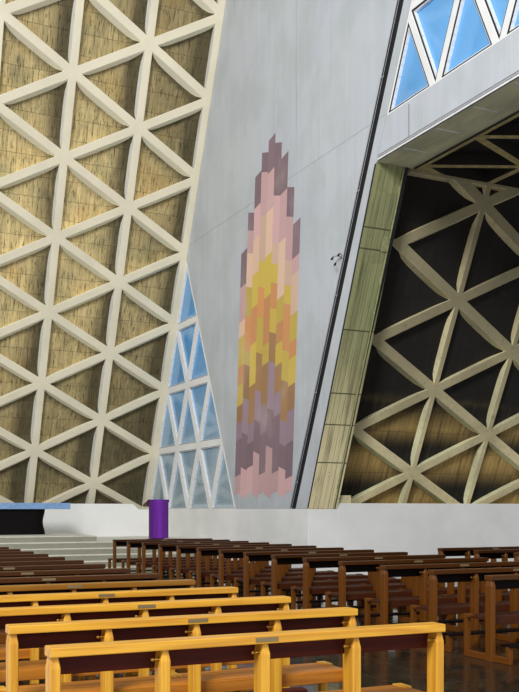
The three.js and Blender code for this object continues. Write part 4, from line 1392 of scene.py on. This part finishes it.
class BuildSideWall(ChurchOperator):
    """Softens the side wall's panels and fits the channel's conduit, clips and lamp."""

    bl_idname = "church.build_side_wall"
    bl_label = "Side wall"

    def execute(self, context):
        sizes = context.scene.church_sizes
        panels = ("side_wall_lower", "side_wall_upper")
        for node in ("side_low_wall", "side_low_wall_near", *panels):
            finish = "white" if node in panels else "plaster"
            soften(node, node + "_cast", finish, sizes.arris / 2)
        finish_node("service_channel", "metal")
        self.add_conduit(sizes)
        self.add_lamp()
        return {"FINISHED"}

    def add_conduit(self, sizes):
        """A conduit on a dark strip along the channel's altar side, held by thin clips that reach over
        the channel, and a dark joint along the far post's bare face."""
        margin, clip_pitch, clip_reach, dark_band, stations = 0.02, 1.95, 0.12, 0.07, 24
        radius = sizes.conduit
        heights = np.linspace(LOW_WALL_TOP + margin, WALL_TOP - margin, stations)
        middle = channel_line(heights) + dark_band / 2
        path = np.column_stack([np.full(stations, -STAND_OUT - radius), middle, heights])
        shape = Shape()
        shape.add(*pipe(path, radius))
        for z in np.arange(LOW_WALL_TOP + 0.6, WALL_TOP - 0.5, clip_pitch):
            y = channel_line(z)
            low = (-0.006 - 2 * radius, y - clip_reach, z)
            high = (-0.003 - 2 * radius, y + dark_band, z + 0.014)
            shape.add(*plank(1, low, high, 0.001))
        lines = [(channel_line, dark_band, WALL_TOP), (jamb_line, sizes.joint, BEAM_LOW.z)]
        for line, width, top in lines:
            low, high = (-STAND_OUT, 0.0, LOW_WALL_TOP + margin), (0.002, width, top - margin)
            strip, faces = plank(2, low, high, 0.001)
            strip[:, 1] += line(strip[:, 2])
            shape.add(strip, faces, material=1)
        shape.build("channel_conduit", [MATERIALS["conduit"], MATERIALS["gasket"]])

    def add_lamp(self):
        """Three small spotlights on a branched arm beside the channel."""
        root = np.array(LAMP_PLACE)
        shape = Shape()
        shape.add(*plank(0, root + (-0.03, -0.03, -0.03), root + (0.0, 0.03, 0.03), 0.006))
        heads = np.array([[-0.2, 0.07, 0.02], [-0.13, 0.07, -0.09], [-0.07, 0.03, 0.1]])
        share = np.linspace(0, 1, 7)[:, None]
        rise = np.array([[0.0, 0.0, 0.03]])
        for offset in heads:
            shape.add(*pipe(root + offset * share + rise * np.sin(np.pi * share), 0.005, 8))
            shape.add(*self.spot(root + offset))
        shape.build("wall_spotlights", [MATERIALS["metal"]], "dark_metal")

    def spot(self, place):
        """A turned lamp housing: its radius widens from the back to the open rim."""
        drop = np.array([0.0, 0.015, 0.045, 0.075, 0.075, 0.06])
        radius = np.array([0.008, 0.02, 0.024, 0.028, 0.024, 0.018])
        around, aim = 14, np.array([0.4, 0.0, 0.9])
        angle = 2 * np.pi * np.arange(around) / around
        ring = np.stack([np.cos(angle), np.sin(angle), np.zeros(around)], -1)
        points = place + radius[:, None, None] * ring - drop[:, None, None] * aim
        return points.reshape(-1, 3), tube_faces(len(drop), around)


class BuildPainting(ChurchOperator):
    """Lays a field of painted upright strips on the wall beside the corner window."""

    bl_idname = "church.build_painting"
    bl_label = "Wall painting"

    def execute(self, context):
        plum, mauve, pink = (126, 96, 108), (160, 132, 146), (222, 176, 176)
        ochre, gold, orange, peach = (168, 118, 50), (222, 190, 36), (226, 150, 66), (236, 196, 166)
        tones = [pink, plum, mauve, ochre, gold, orange, gold, peach, pink, plum]
        gap = 0.0015
        rng = np.random.default_rng(SEED + 5)
        sides = np.linspace(*PAINTING_SIDES, PAINTING_STRIPS + 1)
        shape = Shape()
        washes = []
        for n in range(PAINTING_STRIPS):
            levels = self.levels(n, len(tones), rng)
            slant = 0.28 if n % 2 else -0.2
            for k, tone in enumerate(tones):
                side = (sides[n] - gap, sides[n + 1] + gap)
                points, faces = self.block(side, levels[k] + gap, levels[k + 1] - gap, slant)
                shape.add(points, faces)
                tone = scaled(linear(*tone), rng.uniform(0.82, 1.1))
                washes.append(np.tile([*tone, 1.0], (len(points), 1)))
        piece = shape.build("wall_painting", [MATERIALS["painting"]])
        wash = piece.data.color_attributes.new("wash", "FLOAT_COLOR", "POINT")
        wash.data.foreach_set("color", np.concatenate(washes).ravel())
        return {"FINISHED"}

    def levels(self, n, count, rng):
        """Ends of one strip's blocks: the strips' tops rise to the middle of the field as a
        sine, and the blocks share a strip's height by random parts."""
        low, lowest_top, rise = LOW_WALL_TOP + 0.35, 7.4, 3.3
        top = lowest_top + rise * math.sin(math.pi * (n + 0.9) / (PAINTING_STRIPS + 0.8))
        parts = rng.uniform(0.5, 1.5, count)
        return low + (top - low) * np.concatenate([[0.0], np.cumsum(parts) / parts.sum()])

    def block(self, sides, low, high, slant):
        """One wash of colour: a thin plate between two leaning sides with slanted ends."""
        thick = 0.003
        corners = [(sides[0], low), (sides[1], low), (sides[1], high), (sides[0], high)]
        face = np.array(corners)
        face[:, 1] += slant * (face[:, 0] - sides[0])
        face[:, 0] -= PAINTING_LEAN * (face[:, 1] - LOW_WALL_TOP)
        points = np.array([[x, y, z] for x in (-thick, 0.001) for y, z in face])
        return points, tube_faces(2, 4)


class BuildWindows(ChurchOperator):
    """Fits gaskets and thin frames round every pane, and the glass."""

    bl_idname = "church.build_windows"
    bl_label = "Windows"

    def execute(self, context):
        sizes = context.scene.church_sizes
        for node in ("corner_window_bars", "clerestory_bars"):
            soften(node, node + "_cast", "plaster", sizes.arris / 2)
        for node in ("corner_window_glass", "clerestory_glass"):
            finish_node(node, "glass")
        corner = self.corner_panes()
        self.add_frames(corner, WINDOW_BAR_DEPTH, "corner_window_frames", sizes, 0.45)
        clerestory = self.clerestory_panes()
        self.add_frames(clerestory, CLERESTORY_DEPTH, "clerestory_frames", sizes, 1.0)
        return {"FINISHED"}

    def corner_panes(self):
        """Panes between the end wall's face and the window's own slanted side."""
        foot = (end_face(LOW_WALL_TOP), LOW_WALL_TOP)
        right = (WINDOW_RIGHT, LOW_WALL_TOP)
        apex = (end_face(WINDOW_APEX), WINDOW_APEX)
        return divided_triangle(foot, right, apex, GRID_ROWS, WINDOW_BARS)

    def clerestory_panes(self):
        """Panes of the triangle over the ring beam, cut off at its sill and head."""
        left = (BAY_MIDDLE + CLERESTORY_HALF, CLERESTORY_ZERO)
        right = (BAY_MIDDLE - CLERESTORY_HALF, CLERESTORY_ZERO)
        top = (BAY_MIDDLE, WALL_TOP)
        panes = []
        for triangle in divided_triangle(left, right, top, GRID_ROWS, CLERESTORY_BARS):
            pane = clip_level(triangle, BEAM_HIGH.z + CLERESTORY_SILL, 1)
            pane = clip_level(pane, CLERESTORY_HEAD, -1) if len(pane) else pane
            if len(pane) > 2:
                panes.append(pane)
        return panes

    def add_frames(self, panes, depth, name, sizes, share):
        """A black gasket against the concrete, whose ring also blackens the bars' reveals as painted
        shade, and a white frame inside it, at the glass, both at a share of their full widths."""
        seal, bead = sizes.gasket * share, sizes.frame * share
        shape = Shape()
        for pane in panes:
            shape.add(*window_ring(pane, -0.002, seal, 0.012, depth - 0.001))
            ring = window_ring(pane, seal, seal + bead, depth - 0.06, depth - 0.001)
            shape.add(*ring, material=1)
        shape.build(name, [MATERIALS["gasket"], MATERIALS["frame"]])


class BuildBay(ChurchOperator):
    """Finishes the raking posts with board-marked jambs and dresses the ring beam."""

    bl_idname = "church.build_bay"
    bl_label = "Side bay"

    def execute(self, context):
        sizes = context.scene.church_sizes
        for side in ("far", "near"):
            name = "raking_post_" + side
            soften(name, name + "_cast", "post", sizes.arris)
        soften("ring_beam", "ring_beam_cast", "beam", sizes.arris / 3)
        self.add_jamb_boards(sizes)
        self.add_beam_trim()
        return {"FINISHED"}

    def add_jamb_boards(self, sizes):
        """Boards along both jamb faces, in lifts, a repair patch, and on the inner edge a black strip
        of painted shade for the slot, beside a ragged line of mortar."""
        rng = np.random.default_rng(SEED + 1)
        inset = 0.006
        lefts = np.linspace(inset, SIDE_THICK - inset, sizes.jamb_boards + 1)
        levels = np.array([LOW_WALL_TOP + 0.005, *JAMB_LIFTS, BEAM_LOW.z - 0.005])
        edge = (JAMB_AT_BASE, JAMB_AT_BASE + 0.02)
        points, faces = board_field(lefts, levels, sizes.seam, 2 * sizes.relief, *edge, rng)
        points[:, 2] -= LOW_WALL_TOP
        points = lean_back(points, JAMB_SLOPE)
        points[:, 2] += LOW_WALL_TOP
        shape = Shape()
        shape.add(points, faces)
        shape.add(mirrored(points), faces)
        for turn in (lambda p: p, mirrored):
            plate, plate_faces = plank(2, *PATCH, 0.006)
            plate[:, 1] += jamb_line(plate[:, 2]) - 0.03
            shape.add(turn(plate), plate_faces, material=1)
            for solid, material in ((self.slot(), 2), (self.mortar(), 1)):
                shape.add(turn(solid[0]), solid[1], material=material)
        materials = [MATERIALS[name] for name in ("jamb", "patch", "gasket")]
        shape.build("jamb_board_marks", materials, "raw_concrete")

    def slot(self):
        """The slot near the jamb's inner edge as a black strip of painted shade: a thin line that
        opens out above half height as a smooth step."""
        out, thin = 0.022, 0.022
        z = np.linspace(LOW_WALL_TOP + 0.01, BEAM_LOW.z - 0.01, 30)
        x0 = np.full(z.shape, SIDE_THICK - SLOT)
        x1 = x0 + thin + (SLOT - thin - 0.002) * ramp(z, 5.2, 7.6)
        y = jamb_line(z)
        section = [(x0, y), (x0, y - out), (x1, y - out), (x1, y)]
        return self.strip(section, z)

    def strip(self, section, z):
        """A strip whose section of four [x, y] corners follows the height."""
        points = np.stack([np.stack([a, b, z], -1) for a, b in section], 1)
        return points.reshape(-1, 3), tube_faces(len(z), 4)

    def mortar(self):
        """Mortar squeezed out along the slot: its free edge wanders as a sum of three sines."""
        x1, out = SIDE_THICK - SLOT, 0.026
        z = np.linspace(LOW_WALL_TOP + 0.02, BEAM_LOW.z - 0.02, 90)
        reach = 0.024 + 0.009 * (np.sin(3.1 * z) + np.sin(7.7 * z + 1) + 0.6 * np.sin(19 * z + 2))
        x0 = x1 - np.maximum(reach, 0.004)
        y = jamb_line(z)
        x1 = np.full(z.shape, x1)
        return self.strip([(x0, y), (x0, y - 0.7 * out), (x1, y - out), (x1, y)], z)

    def add_beam_trim(self):
        """Two metal strips between dark lines along the beam's lower arris, upright joints,
        pale strips across the soffit and a rib on its inner edge."""
        z = BEAM_LOW.z
        start = JAMB_AT_BEAM - 0.05
        end = 2 * BAY_MIDDLE - start
        far_joint, near_joint = BEAM_JOINT, 2 * BAY_MIDDLE - BEAM_JOINT
        shape = Shape()
        # Each band's lower and upper edge above the arris, its face, and its material
        bands = [
            (0.002, 0.016, -0.004, 0),
            (0.018, 0.052, -0.014, 1),
            (0.054, 0.062, -0.004, 0),
            (0.064, 0.1, -0.012, 2),
            (0.102, 0.116, -0.004, 0),
        ]
        for bottom, top, out, material in bands:
            low, high = (out, end, z + bottom), (0.01, start, z + top)
            shape.add(*plank(1, low, high, 0.001), material=material)
        for joint in (far_joint, near_joint):
            low, high = (-0.002, joint - 0.008, z + 0.12), (0.01, joint + 0.008, BEAM_HIGH.z - 0.05)
            shape.add(*plank(2, low, high, 0.001))
        for y in np.arange(SOFFIT_STRIP_FIRST, end + 1.0, -SOFFIT_STRIP_PITCH):
            low, high = (0.06, y - 0.014, z - 0.006), (0.62 * BEAM_HIGH.x, y + 0.014, z + 0.01)
            shape.add(*plank(0, low, high, 0.002), material=1)
        low, high = (BEAM_HIGH.x - 0.06, end, z - 0.05), (BEAM_HIGH.x - 0.002, start, z + 0.01)
        shape.add(*plank(1, low, high, 0.006), material=3)
        materials = [MATERIALS[name] for name in ("gasket", "frame", "conduit", "ceiling")]
        shape.build("ring_beam_trim", materials)


class BuildAisle(ChurchOperator):
    """Softens the aisle's ribs, low walls and roof and lays board marks in its coffers."""

    bl_idname = "church.build_aisle"
    bl_label = "Aisle"

    def execute(self, context):
        sizes = context.scene.church_sizes
        for node, material in (("aisle_end_ribs", "raw"), ("aisle_ceiling_ribs", "ceiling")):
            soften(node, node + "_cast", material, sizes.arris)
        for node in ("aisle_low_wall", "aisle_low_wall_near"):
            soften(node, node + "_cast", "plaster", sizes.arris)
        soften("aisle_roof_slab", "aisle_roof_slab_cast", "infill", sizes.arris)
        finish_node("aisle_end_slab", "infill")
        finish_node("aisle_near_wall", "raw")
        rng = np.random.default_rng(SEED + 2)
        x_range = (SIDE_THICK + 0.3, AISLE_RIGHT - 0.01)
        z_range = (FLOOR_TOP, CEILING - 0.01)
        lattice = (x_range, z_range, AISLE_LATTICE, AISLE_BACK, low_shade)
        points, faces, grain = coffer_boards(*lattice, sizes, rng)
        points[:, 1] += AISLE_FACE
        points = lean_back(points, AISLE_LEAN)
        shape = Shape()
        shape.add(points, faces, grain=grain)
        shape.add(mirrored(points), faces, grain=grain)
        shape.add(*plank(0, *FOOT_BLOCK, 0.01), material=1)
        materials = [MATERIALS["infill"], MATERIALS["raw"]]
        shape.build("aisle_board_marks", materials, "dark_infill", with_grain=True)
        return {"FINISHED"}


class BuildSanctuary(ChurchOperator):
    """Finishes floors and steps with pale nosings, the low wall, altar and lectern."""

    bl_idname = "church.build_sanctuary"
    bl_label = "Floors and sanctuary"

    def execute(self, context):
        sizes = context.scene.church_sizes
        finish_node("nave_floor", "floor")
        finish_node("aisle_floor", "floor")
        steps = [f"step_{n}" for n in range(1, 5)] + ["platform", "dais"]
        for node in steps:
            finish_node(node, "step")
        low_wall = "sanctuary_low_wall"
        soften(low_wall, low_wall + "_cast", "plaster", sizes.arris)
        self.add_nosings(steps, sizes.nosing)
        soften("altar_slab", "altar_slab_cut", "marble", 0.012)
        self.add_pedestal()
        self.add_lectern()
        self.add_cloth()
        return {"FINISHED"}

    def add_nosings(self, steps, width):
        """A pale strip with a rounded nose along the front edge of each step."""
        turn = np.linspace(-np.pi / 2, np.pi / 2, 7)
        out, proud, half = 0.012, 0.004, 0.016
        nose = np.column_stack([-out * np.cos(turn), proud - half + half * np.sin(turn)])
        profile = np.vstack([nose, [[width, proud], [width, proud - 2 * half]]])
        shape = Shape()
        for step in steps:
            low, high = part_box(step)
            section = profile + (low.y, high.z)
            shape.add(*carried(section, low.x + 0.005, high.x - 0.005))
        shape.build("step_nosings", [MATERIALS["nosing"]], "step_stone")

    def add_pedestal(self):
        """The altar's base: a rounded rectangle carried up, with its ends drawn in at a waist."""
        low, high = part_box("altar_base")
        centre = np.array((low + high) / 2)
        half = np.array((high - low) / 2)
        stations, around, power, draw = 17, 48, 0.28, 0.07
        t = np.linspace(0.0, 1.0, stations)
        angle = 2 * np.pi * (np.arange(around) + 0.5) / around
        waist = 1 - draw * np.sin(np.pi * t) ** 2
        around_x = np.sign(np.cos(angle)) * np.abs(np.cos(angle)) ** power
        around_y = np.sign(np.sin(angle)) * np.abs(np.sin(angle)) ** power
        points = np.empty((stations, around, 3))
        points[..., 0] = centre[0] + half[0] * waist[:, None] * around_x
        points[..., 1] = centre[1] + half[1] * around_y
        points[..., 2] = low.z + (high.z - low.z) * t[:, None]
        flat = points.reshape(-1, 3)
        shape = Shape()
        shape.add(flat, tube_faces(stations, around), grain=along_grain(flat, 2))
        piece = ("altar_pedestal", [MATERIALS["ebony"]], "dark_wood", ["altar_base"])
        shape.build(*piece, with_grain=True)

    def add_lectern(self):
        """A slim wooden column on a foot, under a sloped board with a book ledge."""
        low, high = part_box("ambo")
        (x0, y0), (x1, y1) = LECTERN_COLUMN
        slope = LECTERN_DROP / (high.y - low.y)
        cut, foot, spread = 0.004, 0.05, 0.03
        shape = Shape()
        column, faces = plank(2, (x0, y0, 0.0), (x1, y1, 1.0), cut)
        under = high.z - LECTERN_BOARD + cut - slope * (column[:, 1] - low.y)
        column[:, 2] = low.z + column[:, 2] * (under - low.z)
        self.add_wood(shape, 2, (column, faces))
        foot_low = (x0 - spread, y0 - spread, low.z)
        foot_high = (x1 + spread, y1 + spread, low.z + foot)
        self.add_wood(shape, 0, plank(0, foot_low, foot_high, cut))
        top, faces = plank(0, (low.x, low.y, -LECTERN_BOARD), (high.x, high.y, 0.0), cut)
        top[:, 2] += high.z - slope * (top[:, 1] - low.y)
        self.add_wood(shape, 0, (top, faces))
        back = high.z - LECTERN_DROP
        ledge_low = (low.x + 0.03, high.y - 0.03, back - 0.01)
        ledge_high = (high.x - 0.03, high.y, back + 0.025)
        self.add_wood(shape, 0, plank(0, ledge_low, ledge_high, cut))
        shape.build("lectern", [MATERIALS["honey"]], "honey_wood", ["ambo"], with_grain=True)

    def add_wood(self, shape, axis, solid):
        """Adds a timber whose grain runs along an axis."""
        points, faces = solid
        shape.add(points, faces, grain=along_grain(points, axis))

    def add_cloth(self):
        """A cloth laid over the lectern's upper edge and hung down its front. Across it, soft
        folds grow towards the hem as sines; along it, the path runs down the sloped top, round
        the edge and straight down."""
        low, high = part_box("ambo_cloth")
        top_low, top_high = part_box("ambo")
        over, hang = 0.1, high.z - low.z
        width = high.x - low.x
        rows, columns, proud, swell = 90, 61, 0.004, 0.012
        slope = LECTERN_DROP / (top_high.y - top_low.y)
        s = np.linspace(0.0, over + hang, rows)[:, None]
        u = np.linspace(0.0, 1.0, columns)[None, :]
        lying = s < over
        down = np.clip(s - over, 0.0, None)
        share = down / hang
        fold = swell * share * (np.sin(2 * np.pi * 3.5 * u + 0.7) + 0.3 * np.sin(2 * np.pi * 8 * u))
        stand = proud + swell * np.minimum(down / 0.08, 1.0)
        back = np.clip(over - s, 0.0, None)
        y = np.where(lying, top_low.y + back, top_low.y - stand - fold - 0.01 * share)
        z = np.where(lying, top_high.z - slope * back + proud, top_high.z + proud - down)
        x = low.x + width * u + 0 * s
        points = np.stack([x, y + 0 * u, z + 0 * u], -1).reshape(-1, 3)
        grain = np.stack([u * width + 0 * s, s + 0 * u, 0 * s * u], -1).reshape(-1, 3)
        shape = Shape()
        shape.add(points, [grid_faces(rows, columns)], grain=grain, closed=False)
        piece = ("lectern_cloth", [MATERIALS["cloth"]], "purple_cloth", ["ambo_cloth"])
        cloth = shape.build(*piece, smooth=True, with_grain=True)
        skin = cloth.modifiers.new("thickness", "SOLIDIFY")
        skin.thickness = 0.002


class BuildPews(ChurchOperator):
    """Builds every pew from cut-edged timbers, with brass knobs and a plate on its rail."""

    bl_idname = "church.build_pews"
    bl_label = "Pews"

    def execute(self, context):
        sizes = context.scene.church_sizes
        pew = self.pew_shape(sizes.timber_cut)
        names = ("honey", "brown", "brass", "plate", "seat")
        materials = [MATERIALS[name] for name in names]
        rng = np.random.default_rng(SEED + 3)
        blocks = [("left", LEFT_BLOCK, LEFT_ROWS), ("middle", MIDDLE_BLOCK, MIDDLE_ROWS)]
        for block, (x, y), rows in blocks:
            for row in range(rows):
                node = f"pew_{block}_{row + 1:02d}"
                place = (x, y + row * PEW_PITCH, FLOOR_TOP)
                shape = Shape()
                shape.include(pew, place, grain_shift=rng.uniform(0, 40, 3))
                piece = (node + "_joined", materials, "honey_wood", [node])
                shape.build(*piece, with_grain=True)
        extra = [
            (LEFT_BLOCK, LEFT_ROWS, LEFT_EXTRA_ROWS),
            (MIDDLE_BLOCK, MIDDLE_ROWS, MIDDLE_EXTRA_ROWS),
            (AISLE_BLOCK, 0, AISLE_ROWS),
        ]
        shape = Shape()
        for (x, y), first, rows in extra:
            for row in range(first, first + rows):
                place = (x, y + row * PEW_PITCH, FLOOR_TOP)
                shape.include(pew, place, grain_shift=rng.uniform(0, 40, 3))
        shape.build("pews_beyond", materials, "honey_wood", with_grain=True)
        return {"FINISHED"}

    def pew_shape(self, cut):
        """One pew: frames and posts under a flat rail, a dark back board, apron, seat and
        kneeler."""
        rng = np.random.default_rng(SEED + 4)
        shape = Shape()

        def wood(axis, solid, material=0):
            """Adds a timber whose grain starts at a random place."""
            points, faces = solid
            grain = along_grain(points, axis) + rng.uniform(0, 25, 3)
            shape.add(points, faces, material, grain)

        wood(0, self.rail())
        wood(0, plank(0, *between(BACK_BOARD, 0.01, PEW_LENGTH - 0.01), cut), 1)
        wood(0, plank(0, *between(APRON, 0.0, PEW_LENGTH), cut), 4)
        wood(0, self.seat(), 4)
        wood(0, self.kneeler(), 1)
        for n in range(PEW_POSTS):
            x = n * (PEW_LENGTH - PEW_POST) / (PEW_POSTS - 1)
            wood(2, self.post(x))
            if n % 2 == 0:
                self.add_frame(wood, x, cut)
            if n > 0:
                shape.add(*self.knob(x), material=2)
        middle = 0.5 * PEW_LENGTH
        plate = between(PLATE, middle - PLATE_HALF, middle + PLATE_HALF)
        shape.add(*plank(0, *plate, 0.001), material=3)
        return shape

    def rail(self):
        """The flat top rail: a rectangle with rounded edges, carried along the pew, whose top
        rolls down over the last centimetre at both ends."""
        edge, roll = 0.006, 0.009
        turn = np.linspace(0, np.pi / 2, 4)
        arc = np.column_stack([np.cos(turn), np.sin(turn)]) * edge
        y1, z1 = RAIL_HALF - edge, PEW_RAIL - edge
        corners = [(y1, z1, 0), (-y1, z1, 1), (-y1, edge, 2), (y1, edge, 3)]
        section = []
        for y, z, quarter in corners:
            angle = quarter * np.pi / 2
            spin = np.array([[np.cos(angle), np.sin(angle)], [-np.sin(angle), np.cos(angle)]])
            section.append(arc @ spin + (y, z))
        section = np.vstack(section)
        t = np.linspace(0, np.pi / 2, 5)
        ends = roll * (1 - np.cos(t))
        x = np.concatenate([ends, PEW_LENGTH - ends[::-1]])
        drop = roll * (1 - np.sin(t))
        drops = np.concatenate([drop, drop[::-1]])
        points = np.empty((len(x), len(section), 3))
        points[..., 0] = x[:, None]
        points[..., 1] = section[:, 0]
        height = section[:, 1]
        rolled = np.minimum(height, PEW_RAIL - drops[:, None] * (height / PEW_RAIL))
        points[..., 2] = RAIL_UNDER + rolled
        return points.reshape(-1, 3), tube_faces(len(x), len(section))

    def post(self, x):
        """An upright whose sides are cut back towards the rail."""
        taper, neck, cut = 0.06, 0.011, 0.005
        half = POST_HALF
        stations = [
            (0.0, x, x + PEW_POST, -half, half),
            (RAIL_UNDER - taper, x, x + PEW_POST, -half, half),
            (RAIL_UNDER + 0.004, x + neck, x + PEW_POST - neck, -half + neck, half),
        ]
        return timber(2, stations, cut)

    def add_frame(self, wood, x, cut):
        """The floor skid, the short front post with its cap, and the kneeler's foot."""
        x1 = x + PEW_POST
        cap_start = x - 0.006 if x > 0 else 0.0
        wood(1, plank(1, *between(SKID, x + 0.004, x1 - 0.004), cut))
        wood(2, plank(2, *between(FRONT_POST, x, x1), cut))
        wood(1, plank(1, *between(POST_CAP, cap_start, x1 + 0.006), cut))
        wood(2, plank(2, *between(KNEELER_POST, x, x1), cut))

    def seat(self):
        """The seat board: level, with a rounded front edge and a slight dish."""
        back, dished_to, front, middle, half = 0.062, 0.38, 0.415, 0.44, 0.015
        t = np.linspace(-np.pi / 2, np.pi / 2, 7)
        edge = np.column_stack([front + half * np.cos(t), middle + half * np.sin(t)])
        y = np.linspace(dished_to, back, 9)
        dish = 0.006 * np.sin(np.pi * (y - back) / (dished_to - back))
        top = np.column_stack([y, middle + half - dish])
        section = np.vstack([edge, top, [[back, middle - half]]])
        return carried(section, 0.002, PEW_LENGTH - 0.002)

    def kneeler(self):
        """The kneeling board: a crowned dark top over a flat underside."""
        t = np.linspace(0, np.pi, 11)
        crown = np.column_stack([-0.27 + 0.08 * np.cos(t), 0.19 + 0.02 * np.sin(t) ** 0.5])
        section = np.vstack([crown, [[-0.35, 0.18], [-0.19, 0.18]]])
        return carried(section, 0.002, PEW_LENGTH - 0.002)

    def knob(self, x):
        """A turned brass knob on the post's side: its radius steps along its axis from the
        rose to the neck and out to the rounded head."""
        out = np.array([-0.002, 0.004, 0.006, 0.026, 0.032, 0.04, 0.046, 0.048])
        radius = np.array([0.012, 0.012, 0.005, 0.0045, 0.009, 0.01, 0.007, 0.002])
        around, forward, below_rail = 10, 0.02, 0.05
        angle = 2 * np.pi * np.arange(around) / around
        points = np.empty((len(out), around, 3))
        points[..., 0] = x - out[:, None]
        points[..., 1] = -forward + radius[:, None] * np.cos(angle)
        points[..., 2] = RAIL_UNDER - below_rail + radius[:, None] * np.sin(angle)
        return points.reshape(-1, 3), tube_faces(len(out), around)


OPERATORS = (
    BuildStage,
    BuildEndWall,
    BuildSideWall,
    BuildPainting,
    BuildWindows,
    BuildBay,
    BuildAisle,
    BuildSanctuary,
    BuildPews,
)


class ChurchPanel(bpy.types.Panel):
    """Lists the building steps and the sizes and colours they use."""

    bl_idname = "VIEW3D_PT_church"
    bl_label = "Church sanctuary"
    bl_space_type = "VIEW_3D"
    bl_region_type = "UI"
    bl_category = "Church"

    def draw(self, context):
        """A button for each step, then a box for the sizes and one for the colours."""
        for operator in OPERATORS:
            self.layout.operator(operator.bl_idname)
        for group in (context.scene.church_sizes, context.scene.church_colours):
            box = self.layout.box()
            for key in group.__annotations__:
                box.prop(group, key)


CLASSES = (ChurchSizes, ChurchColours, *OPERATORS, ChurchPanel)


def register():
    """Registers the classes and hangs the sizes and colours on the scene."""
    for item in CLASSES:
        bpy.utils.register_class(item)
    bpy.types.Scene.church_sizes = PointerProperty(type=ChurchSizes)
    bpy.types.Scene.church_colours = PointerProperty(type=ChurchColours)


def unregister():
    """Undoes what register does."""
    del bpy.types.Scene.church_colours
    del bpy.types.Scene.church_sizes
    for item in reversed(CLASSES):
        bpy.utils.unregister_class(item)


def main():
    """Calls every building step in order."""
    register()
    for operator in OPERATORS:
        group, step = operator.bl_idname.split(".")
        getattr(getattr(bpy.ops, group), step)()


if __name__ == "__main__":
    main()
